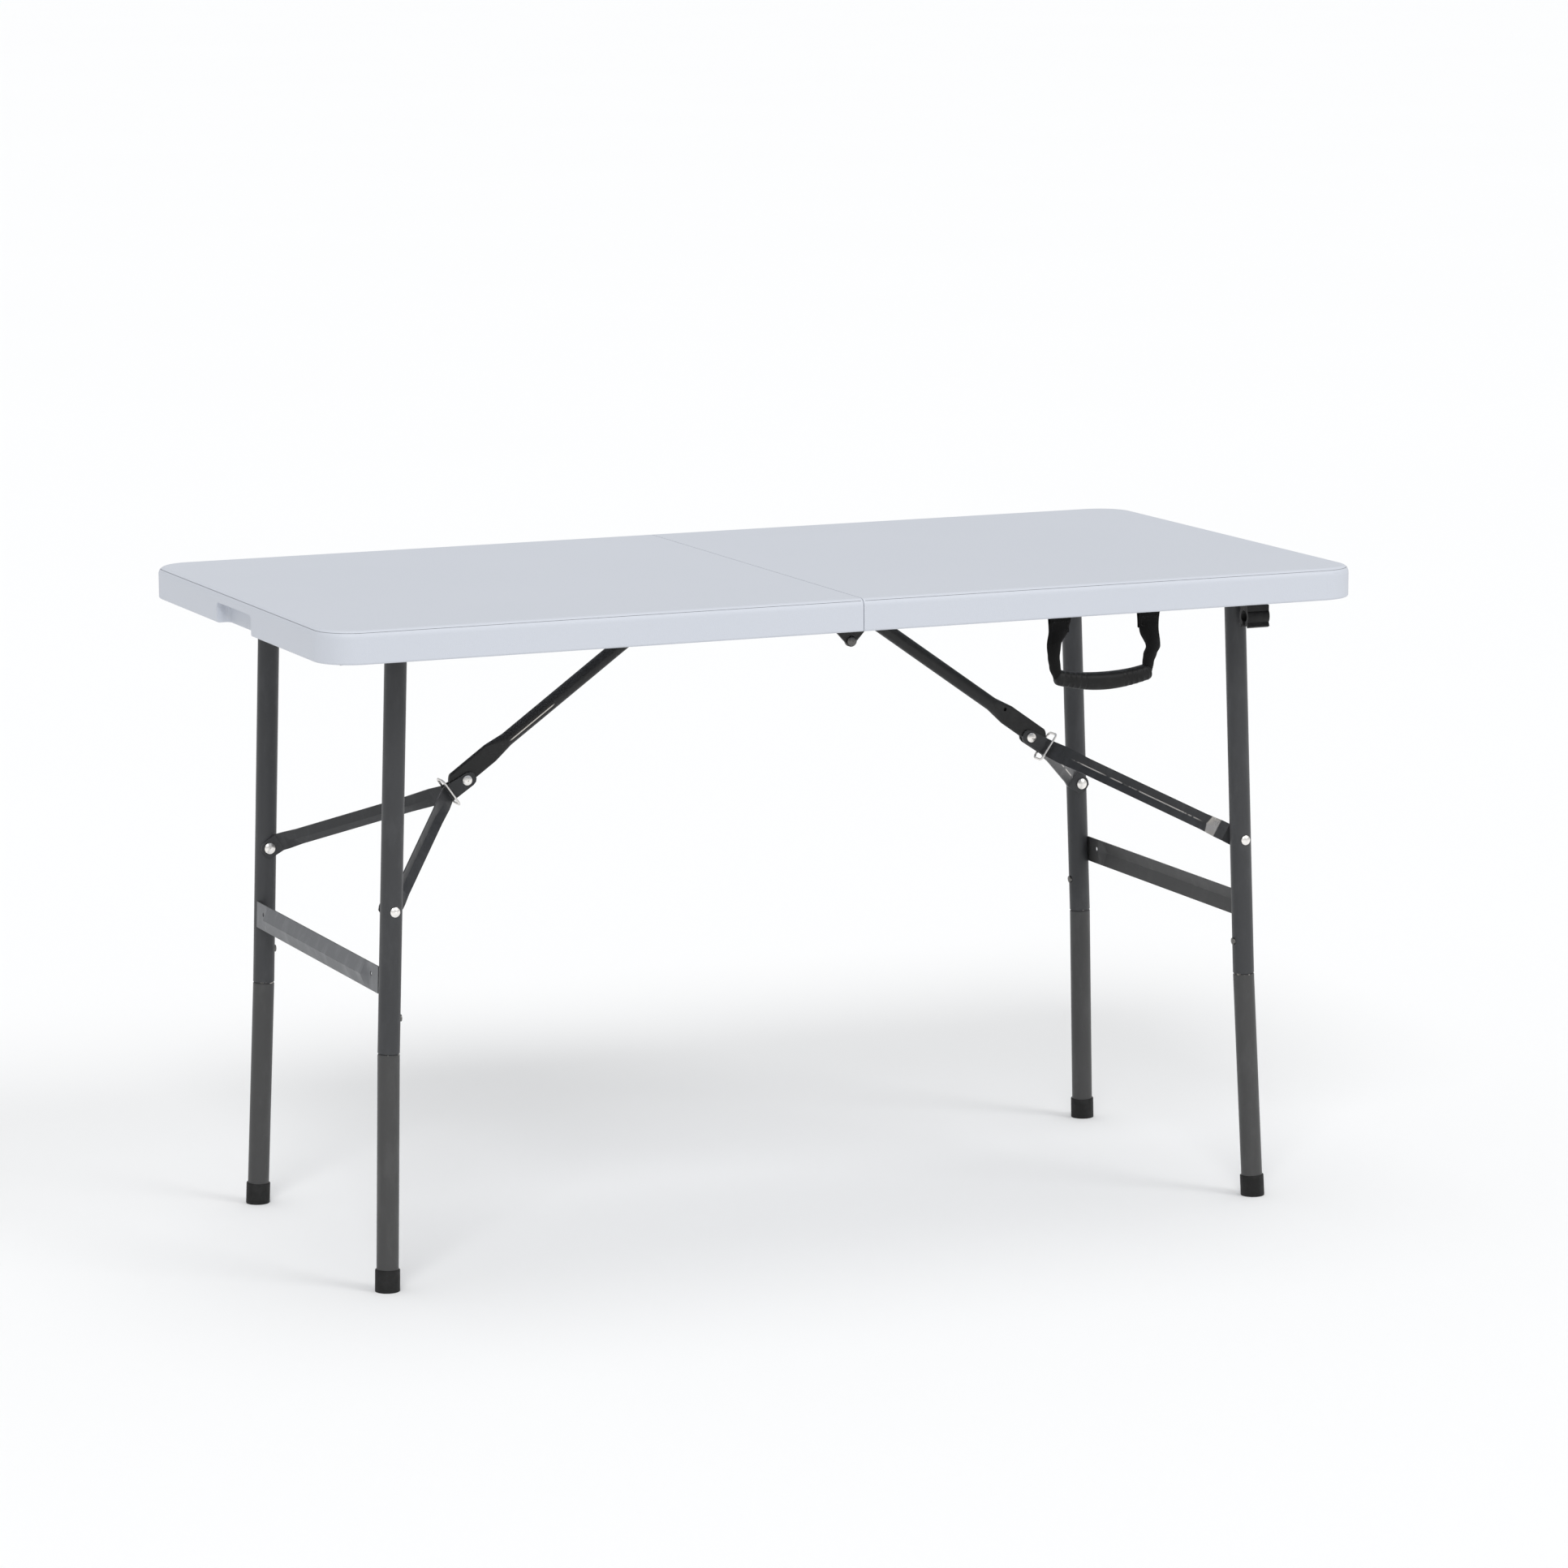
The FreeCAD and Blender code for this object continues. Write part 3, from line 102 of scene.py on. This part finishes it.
class Finish:
    """A material's node tree, with short calls for the nodes that the finishes share."""

    def __init__(self, name, **constants):
        self.material = bpy.data.materials.new(name)
        self.material.use_nodes = True
        self.tree = self.material.node_tree
        self.shader = self.tree.nodes["Principled BSDF"]
        for socket, value in constants.items():
            self.shader.inputs[socket.replace("_", " ")].default_value = value
        self.position = self.tree.nodes.new("ShaderNodeTexCoord").outputs["Object"]

    def put(self, value, socket):
        """Link an output to a socket, or set a plain value on it."""
        if isinstance(value, bpy.types.NodeSocket):
            self.tree.links.new(value, socket)
        else:
            socket.default_value = value

    def set(self, socket, value):
        """Feed one of the shader's own sockets."""
        self.put(value, self.shader.inputs[socket])

    def math(self, operation, first, second=0.0, third=0.0):
        node = self.tree.nodes.new("ShaderNodeMath")
        node.operation = operation
        for socket, value in zip(node.inputs, (first, second, third)):
            self.put(value, socket)
        return node.outputs[0]

    def spread(self, value, low, high, to_low=0.0, to_high=1.0):
        """Map low..high smoothly to to_low..to_high, held at both ends."""
        node = self.tree.nodes.new("ShaderNodeMapRange")
        node.interpolation_type = "SMOOTHSTEP"
        for socket, number in zip(node.inputs, (value, low, high, to_low, to_high)):
            self.put(number, socket)
        return node.outputs[0]

    def scaled(self, factors, source=None):
        """The position, stretched by a factor along each axis."""
        node = self.tree.nodes.new("ShaderNodeVectorMath")
        node.operation = "MULTIPLY"
        self.put(source or self.position, node.inputs[0])
        node.inputs[1].default_value = factors
        return node.outputs[0]

    def noise(self, size_m, detail=2.0, roughness=0.5, stretch=(1, 1, 1)):
        """Cloudy noise with features about size_m across, stretched along an axis where asked."""
        node = self.tree.nodes.new("ShaderNodeTexNoise")
        node.inputs["Scale"].default_value = 1 / size_m
        node.inputs["Detail"].default_value = detail
        node.inputs["Roughness"].default_value = roughness
        self.put(self.scaled(stretch) if stretch != (1, 1, 1) else self.position, node.inputs["Vector"])
        return node.outputs["Fac"]

    def cells(self, size_m):
        """Distance to the nearest of scattered points about size_m apart."""
        node = self.tree.nodes.new("ShaderNodeTexVoronoi")
        node.inputs["Scale"].default_value = 1 / size_m
        self.put(self.position, node.inputs["Vector"])
        return node.outputs["Distance"]

    def axes(self):
        node = self.tree.nodes.new("ShaderNodeSeparateXYZ")
        self.put(self.position, node.inputs[0])
        return node.outputs

    def mix(self, amount, first, second):
        """One colour over another."""
        node = self.tree.nodes.new("ShaderNodeMix")
        node.data_type = "RGBA"
        self.put(amount, node.inputs["Factor"])
        self.put(first, node.inputs[6])
        self.put(second, node.inputs[7])
        return node.outputs[2]

    def bump(self, height, depth_m, after=None):
        """Surface relief of a height field, depth_m deep, added to an earlier relief."""
        node = self.tree.nodes.new("ShaderNodeBump")
        node.inputs["Distance"].default_value = depth_m
        self.put(height, node.inputs["Height"])
        if after is not None:
            self.put(after, node.inputs["Normal"])
        return node.outputs[0]


def grey(level, tint=(1, 1, 1)):
    """A linear colour near a grey level."""
    return (level * tint[0], level * tint[1], level * tint[2], 1)


COOL = (0.96, 0.99, 1.05)
WARM = (1.05, 1.0, 0.93)


def floor_finish():
    """Matt white studio floor, faintly uneven."""
    it = Finish("studio_floor", Roughness=0.9)
    it.set("Base Color", it.mix(it.noise(1.5), grey(0.935), grey(0.945)))
    return it.material


def moulded_plastic():
    """Blow-moulded top: cool light grey, fine moulded grain, slight waves and light scuffs."""
    it = Finish("moulded_plastic", Specular_IOR_Level=0.42)
    broad = it.noise(0.22, 3)
    scuff = it.spread(it.noise(0.05, 6, 0.7, (1, 9, 1)), 0.62, 0.78)
    colour = it.mix(broad, (0.57, 0.598, 0.655, 1), (0.59, 0.616, 0.672, 1))
    it.set("Base Color", it.mix(it.math("MULTIPLY", scuff, 0.12), colour, (0.64, 0.66, 0.71, 1)))
    grain = it.noise(0.0009, 3, 0.6)
    it.set("Roughness", it.math("MULTIPLY_ADD", grain, 0.16, it.math("MULTIPLY_ADD", scuff, 0.1, 0.4)))
    waves = it.bump(it.noise(0.16, 1), 0.0005)
    pits = it.bump(it.math("SUBTRACT", 1.0, it.spread(it.cells(0.0013), 0.05, 0.5)), 0.00005, waves)
    it.set("Normal", it.bump(grain, 0.00008, pits))
    return it.material


def powder_coat(name, light, dark, chipped=0.02, extra=None, inboard_shade=None):
    """Satin powder coat with orange peel, rubbed lighter in patches, with a few chipped spots down to bare steel;
    an extra mask adds bare-steel colour that is partly real bare steel and partly painted highlights, and inboard
    faces can take a darker colour as painted shade.
    """
    it = Finish(name, Specular_IOR_Level=0.35)
    rubbed = it.spread(it.noise(0.02, 5, 0.65, (1, 1, 0.35)), 0.45, 0.75)
    colour = it.mix(rubbed, dark, light)
    if inboard_shade is not None:
        # painted shade: faces turned towards the middle of the table take the darker inboard colour
        colour = it.mix(inboard(it), colour, inboard_shade)
    chips_and_glints = it.spread(it.noise(0.0045, 4, 0.7), 0.79 - chipped, 0.81 - chipped)
    # the extra mask joins the bare-steel spots: painted highlights on struts and arms, bare steel with painted
    # highlights at the leg joints
    if extra is not None:
        chips_and_glints = it.math("MAXIMUM", chips_and_glints, extra(it))
    peel = it.noise(0.0011, 2)
    it.set("Base Color", it.mix(chips_and_glints, colour, grey(0.55, WARM)))
    it.set("Metallic", chips_and_glints)
    satin = it.math("MULTIPLY_ADD", rubbed, -0.08, it.math("MULTIPLY_ADD", peel, 0.14, 0.36))
    it.set("Roughness", it.math("MULTIPLY_ADD", chips_and_glints, -0.12, satin))
    step = it.bump(it.math("SUBTRACT", 1.0, chips_and_glints), 0.00008)
    it.set("Normal", it.bump(peel, 0.00009, step))
    return it.material


PIVOT_X = 0.4995
PIVOT_Z = 0.6975
SPLAY = math.atan2(0.0245, PIVOT_Z)
SHOULDER = 0.440


def down_leg(it):
    """Distance down a leg from its pivot, at the shading point."""
    x, _, z = it.axes()
    outward = it.math("SUBTRACT", it.math("ABSOLUTE", x), PIVOT_X)
    below = it.math("SUBTRACT", PIVOT_Z, z)
    return it.math("MULTIPLY_ADD", outward, math.sin(SPLAY), it.math("MULTIPLY", below, math.cos(SPLAY)))


def joint_bare_and_glint(it):
    """Bare steel of the sleeve round the joint between the two tubes, broken into dashes that are painted
    highlights.
    """
    off = it.math("ABSOLUTE", it.math("SUBTRACT", down_leg(it), SHOULDER))
    near = it.spread(off, 0.0011, 0.0007)
    return it.math("MULTIPLY", near, it.spread(it.noise(0.006, 1), 0.57, 0.62))


def swaged_bare_and_glint(it):
    """Bare steel above the shoulder, and the same dashes of painted highlight as on the upper tube."""
    plug = it.spread(down_leg(it), SHOULDER - 0.0002, SHOULDER - 0.0008)
    return it.math("MAXIMUM", plug, joint_bare_and_glint(it))


STRUT_PIVOT = (0.082, 0.697)
STRUT_SLOPE = math.atan2(-0.18711, 0.26358)
SEAM_RISE = 0.0058
SEAM_FROM_PIVOT = (0.192, 0.260)
SEAM_LIP_BELOW = 0.0012


def seam_highlight(it):
    """Painted highlight: bare-steel colour along the lip under the open seam of a strut, on the side that carries
    the seam, where the lip catches the light.
    """
    x, y, z = it.axes()
    run = it.math("SUBTRACT", it.math("ABSOLUTE", x), STRUT_PIVOT[0])
    fall = it.math("SUBTRACT", z, STRUT_PIVOT[1])
    along = it.math("MULTIPLY_ADD", run, math.cos(STRUT_SLOPE), it.math("MULTIPLY", fall, math.sin(STRUT_SLOPE)))
    across = it.math("MULTIPLY_ADD", run, -math.sin(STRUT_SLOPE), it.math("MULTIPLY", fall, math.cos(STRUT_SLOPE)))
    off = it.math("ABSOLUTE", it.math("SUBTRACT", across, SEAM_RISE - SEAM_LIP_BELOW))
    lip = it.spread(off, 0.0009, 0.0005)
    begins = it.spread(along, SEAM_FROM_PIVOT[0], SEAM_FROM_PIVOT[0] + 0.006)
    ends = it.spread(along, SEAM_FROM_PIVOT[1], SEAM_FROM_PIVOT[1] - 0.006)
    outer = it.spread(it.math("MULTIPLY", y, it.math("SIGN", x)), 0.004, 0.005)
    return it.math("MULTIPLY", it.math("MULTIPLY", lip, outer), it.math("MULTIPLY", begins, ends))


KNEE = (0.3456, 0.50989)
BOLT = (0.5095, 0.4130)
CREST_DROP = 0.0008
BEND_FROM_BOLT = 0.0245


def crest_highlight(it):
    """Painted highlight: bare-steel colour along the ridge of the right arms, and at the front one's bent end,
    where both catch the light.
    """
    x, y, z = it.axes()
    slope = math.atan2(BOLT[1] - KNEE[1], BOLT[0] - KNEE[0])
    length = math.hypot(BOLT[1] - KNEE[1], BOLT[0] - KNEE[0])
    run = it.math("SUBTRACT", x, KNEE[0])
    fall = it.math("SUBTRACT", z, KNEE[1])
    along = it.math("MULTIPLY_ADD", run, math.cos(slope), it.math("MULTIPLY", fall, math.sin(slope)))
    across = it.math("MULTIPLY_ADD", run, -math.sin(slope), it.math("MULTIPLY", fall, math.cos(slope)))
    off = it.math("ABSOLUTE", it.math("ADD", across, CREST_DROP))
    line = it.math("MULTIPLY", it.spread(off, 0.0009, 0.0004), it.spread(it.noise(0.03, 5, 0.65), 0.4, 0.52))
    ridge = it.math("MULTIPLY", it.spread(along, 0.045, 0.055), it.spread(along, length - 0.03, length - 0.04))
    flange = it.spread(it.math("ABSOLUTE", it.math("SUBTRACT", along, length - BEND_FROM_BOLT)), 0.004, 0.003)
    flange = it.math("MULTIPLY", flange, it.spread(y, -0.1, -0.12))
    return it.math("MAXIMUM", it.math("MULTIPLY", line, ridge), flange)


# mask for the painted shade on the crossbars' inboard faces
def inboard(it):
    """One on a face turned towards the middle of the table, nought on a face turned outward."""
    normal = it.tree.nodes.new("ShaderNodeTexCoord").outputs["Normal"]
    split = it.tree.nodes.new("ShaderNodeSeparateXYZ")
    it.put(normal, split.inputs[0])
    x, _, _ = it.axes()
    return it.spread(it.math("MULTIPLY", split.outputs[0], it.math("SIGN", x)), 0.1, -0.1)


def zinc(name="zinc_plate", level=0.62):
    """Bright zinc plate with fine rubbing marks and dull patches."""
    it = Finish(name, Metallic=1.0)
    cloud = it.noise(0.004, 4, 0.6)
    marks = it.noise(0.0012, 3, 0.6, (1, 1, 6))
    it.set("Base Color", it.mix(cloud, grey(level), grey(level * 1.25, WARM)))
    it.set("Roughness", it.math("MULTIPLY_ADD", marks, 0.22, it.math("MULTIPLY_ADD", cloud, 0.12, 0.14)))
    it.set("Normal", it.bump(marks, 0.00003))
    return it.material


def moulded_black(name, level, roughness, grain_m, depth_m):
    """Black moulded plastic or rubber with a spark-eroded grain, greyed where it is handled."""
    it = Finish(name, Specular_IOR_Level=0.25)
    rubbed = it.spread(it.noise(0.014, 4, 0.6), 0.4, 0.75)
    grain = it.noise(grain_m, 3, 0.6)
    it.set("Base Color", it.mix(rubbed, grey(level), grey(level * 1.7)))
    it.set("Roughness", it.math("MULTIPLY_ADD", grain, 0.16, it.math("MULTIPLY_ADD", rubbed, -0.07, roughness)))
    it.set("Normal", it.bump(grain, depth_m))
    return it.material


def webbing():
    """Black polyester webbing: crossing ribs of the weave, softened by fuzz."""
    it = Finish("webbing", Sheen_Weight=0.06, Sheen_Roughness=0.5, Specular_IOR_Level=0.12)
    x, _, z = it.axes()
    rib = 2 * math.pi / 0.0019
    pick = 2 * math.pi / 0.0013
    across = it.math("SINE", it.math("MULTIPLY", x, rib))
    down = it.math("SINE", it.math("MULTIPLY", z, pick))
    weave = it.math("MULTIPLY_ADD", it.math("MULTIPLY", across, down), 0.5, 0.5)
    fuzz = it.noise(0.0006, 3, 0.7)
    it.set("Base Color", it.mix(weave, grey(0.003), grey(0.009)))
    it.set("Roughness", it.math("MULTIPLY_ADD", fuzz, 0.2, 0.68))
    it.set("Normal", it.bump(fuzz, 0.0001, it.bump(weave, 0.0004)))
    return it.material


def thread():
    """Twisted polyester sewing thread, a little lighter than the webbing."""
    it = Finish("thread", Sheen_Weight=0.1, Specular_IOR_Level=0.2)
    twist = it.noise(0.0005, 2, 0.6, (1, 1, 3))
    it.set("Base Color", it.mix(twist, grey(0.01), grey(0.02)))
    it.set("Roughness", it.math("MULTIPLY_ADD", twist, 0.2, 0.55))
    it.set("Normal", it.bump(twist, 0.0001))
    return it.material


# ------------------------------------------------------------------ mesh helpers


def new_piece(name, mesh, body, material):
    """An object for a finished mesh, riding on a body."""
    piece = bpy.data.objects.new(name, mesh)
    bpy.context.scene.collection.objects.link(piece)
    mesh.materials.append(material)
    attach(piece, body)
    return piece


def grid_mesh(name, rings, closed_across, cap_ends=False):
    """A smooth mesh over a grid of points: rings along, points across each."""
    build = bmesh.new()
    rows = [[build.verts.new(point) for point in ring] for ring in rings]
    across = len(rows[0])
    last = across if closed_across else across - 1
    for here, following in zip(rows, rows[1:]):
        for index in range(last):
            after = (index + 1) % across
            build.faces.new((here[index], here[after], following[after], following[index]))
    if cap_ends:
        build.faces.new(list(reversed(rows[0])))
        build.faces.new(rows[-1])
    bmesh.ops.recalc_face_normals(build, faces=build.faces)
    mesh = bpy.data.meshes.new(name)
    build.to_mesh(mesh)
    build.free()
    for face in mesh.polygons:
        face.use_smooth = True
    return mesh


def between(stations, where):
    """Values at where, read smoothly from (where, value, value ...) stations."""
    for low, high in zip(stations, stations[1:]):
        if low[0] >= where >= high[0] or low[0] <= where <= high[0]:
            part = (where - low[0]) / (high[0] - low[0])
            part = part * part * (3 - 2 * part)
            return [a + (b - a) * part for a, b in zip(low[1:], high[1:])]
    return list(stations[-1][1:])


# ------------------------------------------------------------------ the carry handle

ROD_Y = -0.261
ROD_Z = 0.691
WEB_WIDTH = 0.025
WEB_THICK = 0.0016
LOOP_RADIUS = 0.0042
STITCH_TOP = 0.6835
STITCH_LOW = 0.6725

# height, middle of the strap in x, curl of the webbing in radians either side, turn about z
NEAR_STRAP = [
    (0.684, 0.2552, 0.05, 0.0),
    (0.672, 0.2540, 0.5, 0.1),
    (0.656, 0.2500, 1.55, 0.3),
    (0.644, 0.2492, 2.15, 0.4),
    (0.632, 0.2505, 2.3, 0.3),
    (0.619, 0.2550, 2.4, 0.2),
]
FAR_STRAP = [
    (0.684, 0.3645, 0.05, 0.0),
    (0.670, 0.3655, 0.6, -0.1),
    (0.648, 0.3702, 1.5, -0.5),
    (0.640, 0.3672, 1.7, -0.3),
    (0.631, 0.3648, 2.1, -0.2),
    (0.619, 0.3630, 2.4, -0.2),
]


def strap_rings(stations):
    """Rows of points down a strap: round the rod from the stitched tail, then down to the grip."""
    across = 21
    top_x, curl, turn = stations[0][1:]
    rings = []

    def row(x, y, z):
        points = []
        for index in range(across):
            offset = (index / (across - 1) - 0.5) * WEB_WIDTH
            points.append(Vector((x + offset, y, z)))
        return points

    tail_steps = 8
    for step in range(tail_steps):
        z = STITCH_LOW - 0.0025 + (ROD_Z - STITCH_LOW + 0.0025) * step / tail_steps
        y = ROD_Y + 0.0012 + (LOOP_RADIUS - 0.0012) * (step / tail_steps) ** 2
        rings.append(row(top_x, y, z))
    loop_steps = 14
    for step in range(loop_steps + 1):
        angle = math.pi * step / loop_steps
        rings.append(row(top_x, ROD_Y + LOOP_RADIUS * math.cos(angle), ROD_Z + LOOP_RADIUS * math.sin(angle)))
    down_steps = 40
    bottom = stations[-1][0]
    for step in range(1, down_steps + 1):
        z = ROD_Z + (bottom - ROD_Z) * step / down_steps
        x, curl, turn = between(stations, min(z, stations[0][0]))
        close = min(1.0, (ROD_Z - z) / 0.016)
        y = ROD_Y - LOOP_RADIUS + (LOOP_RADIUS - 0.0012) * close * close * (3 - 2 * close)
        radius = WEB_WIDTH / 2 / curl
        points = []
        for index in range(across):
            angle = curl * (2 * index / (across - 1) - 1)
            dx = radius * math.sin(angle)
            dy = radius * (1 - math.cos(angle)) - radius * (1 - math.cos(curl)) * 0.45
            points.append(Vector((
                x + dx * math.cos(turn) - dy * math.sin(turn),
                y + dx * math.sin(turn) * 0.5 + dy * math.cos(turn),
                z,
            )))
        rings.append(points)
    return rings


def make_strap(name, stations, node, material, thread_material):
    """A webbing strap in place of its plain solid, with its stitching."""
    mesh = grid_mesh(name, strap_rings(stations), False)
    strap = new_piece(name, mesh, "handle", material)
    thick = strap.modifiers.new("thickness", "SOLIDIFY")
    thick.thickness = WEB_THICK
    thick.offset = 0
    soften = strap.modifiers.new("soften", "SUBSURF")
    soften.levels = 1
    soften.render_levels = 1
    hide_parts(node)
    make_stitching(f"{name}_stitching", stations[0][1], thread_material)


def make_stitching(name, middle_x, material):
    """A box of stitches with a cross in it, through both layers under the loop."""
    build = bmesh.new()
    half = WEB_WIDTH / 2 - 0.003
    top = STITCH_TOP
    low = STITCH_LOW
    front = ROD_Y - 0.0012 - WEB_THICK / 2
    corners = [(-half, top), (half, top), (half, low), (-half, low)]
    runs = list(zip(corners, corners[1:] + corners[:1]))
    runs.append((corners[0], corners[2]))
    runs.append((corners[1], corners[3]))
    pitch = 0.0026
    for start, end in runs:
        a = Vector((middle_x + start[0], 0, start[1]))
        b = Vector((middle_x + end[0], 0, end[1]))
        count = max(2, round((b - a).length / pitch))
        for index in range(count):
            middle = a.lerp(b, (index + 0.5) / count)
            middle.y = front - 0.0002 - 0.0028 * max(0.0, (middle.z - STITCH_LOW - 0.0045) / 0.0075) ** 2
            direction = (b - a).normalized()
            turn = direction.to_track_quat("X", "Y").to_matrix().to_4x4()
            stretch = Matrix.Diagonal((0.00095, 0.00032, 0.0004, 1))
            bmesh.ops.create_icosphere(
                build, subdivisions=2, radius=1, matrix=Matrix.Translation(middle) @ turn @ stretch,
            )
    mesh = bpy.data.meshes.new(name)
    build.to_mesh(mesh)
    build.free()
    for face in mesh.polygons:
        face.use_smooth = True
    new_piece(name, mesh, "handle", material)


GRIP_MIDDLE_X = 0.309
GRIP_SPAN = 0.118
GRIP_END_Z = 0.622
GRIP_SAG = 0.008


def make_grip(material):
    """The moulded grip: a bowed bar, ribbed for fingers near both ends, smooth in the middle."""
    half = GRIP_SPAN / 2
    arc = (half * half + GRIP_SAG * GRIP_SAG) / (2 * GRIP_SAG)
    reach = math.asin(half / arc)
    along_steps = 150
    round_steps = 40
    rings = []
    for step in range(along_steps + 1):
        part = 2 * step / along_steps - 1
        angle = reach * part
        centre = Vector((
            GRIP_MIDDLE_X + arc * math.sin(angle), ROD_Y, GRIP_END_Z - GRIP_SAG + arc * (1 - math.cos(angle)),
        ))
        outward = Vector((math.sin(angle), 0, -math.cos(angle)))
        from_end = (1 - abs(part)) * half
        rounding = 0.0065
        closing = 1.0
        if from_end < rounding:
            closing = math.sqrt(max(0.0, 1 - (1 - from_end / rounding) ** 2)) * 0.97 + 0.03
        ribbed = 1.0 if 0.004 < from_end < 0.037 else 0.0
        ridge = ribbed * max(0.0, math.sin((from_end - 0.004) / 0.033 * 5 * math.pi * 2 - math.pi / 2)) ** 0.8
        waist = 0.0006 * math.cos(part * math.pi)
        ring = []
        for index in range(round_steps):
            around = 2 * math.pi * index / round_steps
            low = math.sin(around)
            side = math.cos(around)
            square = (abs(low) ** 2.6 + abs(side) ** 2.6) ** (-1 / 2.6)
            front = max(0.0, min(1.0, -1.6 * side - 0.5))
            swell = (ridge * 0.0012 * front - 0.0006 * ribbed * front + waist) * closing
            wide = (0.0095 * closing + swell) * square
            tall = (0.0093 * closing + swell) * square
            ring.append(centre + outward * (tall * low) + Vector((0, wide * side, 0)))
        rings.append(ring)
    mesh = grid_mesh("grip", rings, True, cap_ends=True)
    grip = new_piece("grip", mesh, "handle", material)
    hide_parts("handle_grip")


# ------------------------------------------------------------------ finishes on the steel and plastic parts


def edge_bevel(piece, width, edge_index=None):
    """Round a piece's sharp edges; the rounding may take a second, rubbed finish."""
    weld = piece.modifiers.new("weld", "WELD")
    weld.merge_threshold = 2e-6
    bevel = piece.modifiers.new("edge", "BEVEL")
    bevel.width = width
    bevel.segments = 2
    bevel.limit_method = "ANGLE"
    bevel.angle_limit = math.radians(38)
    bevel.harden_normals = False
    if edge_index is not None:
        bevel.material = edge_index


def dress(node, *materials):
    """Give a CAD node its finishes: the first all over, a second for its bevelled edges."""
    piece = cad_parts[node]
    piece.data.materials.clear()
    for material in materials:
        piece.data.materials.append(material)
    return piece


def dress_all():
    top = moulded_plastic()
    # the leg joints carry bare steel broken into dashes of painted highlight
    upper = powder_coat("upper_leg_paint", grey(0.056, COOL), grey(0.044, COOL), extra=joint_bare_and_glint)
    lower = powder_coat("lower_leg_paint", grey(0.068), grey(0.055), extra=swaged_bare_and_glint)
    frame_paint = powder_coat("frame_paint", grey(0.056, COOL), grey(0.044, COOL))
    # the crossbar's inboard faces get a darker colour as painted shade
    bar_paint = powder_coat("crossbar_paint", grey(0.16, COOL), grey(0.135, COOL), inboard_shade=grey(0.05))
    brace_paint = powder_coat("brace_paint", grey(0.024), grey(0.016), 0.03)
    # the struts carry a painted highlight along the seam lip
    strut_paint = powder_coat("strut_paint", grey(0.02), grey(0.013), 0.02, seam_highlight)
    # the arms carry a painted highlight along the ridge and at the bent end
    arm_paint = powder_coat("arm_paint", grey(0.05, COOL), grey(0.036, COOL), 0.03, crest_highlight)
    rubbed_edge = powder_coat("rubbed_edge", grey(0.2), grey(0.07), 0.06)
    bright = zinc(level=0.8)
    ring = zinc("ring_steel", 0.7)
    dull = zinc("dull_zinc", 0.42)
    button = zinc("button_steel", 0.15)
    rubber = moulded_black("foot_rubber", 0.011, 0.55, 0.0012, 0.0001)
    clip = moulded_black("clip_plastic", 0.009, 0.4, 0.0008, 0.00005)
    for side in SIDES:
        dress(f"{side}_tabletop", top)
        for row in ROWS:
            dress(f"{side}_{row}_upper_leg", upper)
            dress(f"{side}_{row}_lower_leg", lower)
            dress(f"{side}_{row}_foot_cap", rubber)
            dress(f"{side}_{row}_snap_button", button)
            dress(f"{side}_{row}_button_spring", dull)
            edge_bevel(dress(f"{side}_{row}_rail", frame_paint, rubbed_edge), 0.0004, 1)
            edge_bevel(dress(f"{side}_{row}_hinge_leaf", brace_paint, rubbed_edge), 0.0004, 1)
            edge_bevel(dress(f"{side}_{row}_arm", arm_paint, rubbed_edge), 0.0004, 1)
        dress(f"{side}_cross_tube", frame_paint)
        edge_bevel(dress(f"{side}_crossbar", bar_paint, rubbed_edge), 0.0004, 1)
        edge_bevel(dress(f"{side}_strut", strut_paint), 0.0005)
        edge_bevel(dress(f"{side}_strut_bracket", dull), 0.0005)
        dress(f"{side}_lock_ring", ring)
        for hardware in ("arm_bolts", "arm_rivets", "strut_pin", "hinge_rivets", "screws"):
            dress(f"{side}_{hardware}", bright)
    dress("hinge_pins", zinc("burnished_pin", 0.12))
    edge_bevel(dress("strap_anchors", brace_paint), 0.0003)
    edge_bevel(dress("latch_clip", clip), 0.0005)


aim_camera()
floor = studio()
floor.data.materials.append(floor_finish())
dress_all()
web = webbing()
sewing = thread()
make_strap("near_strap", NEAR_STRAP, "handle_near_strap", web, sewing)
make_strap("far_strap", FAR_STRAP, "handle_far_strap", web, sewing)
make_grip(moulded_black("grip_plastic", 0.008, 0.42, 0.0009, 0.00007))
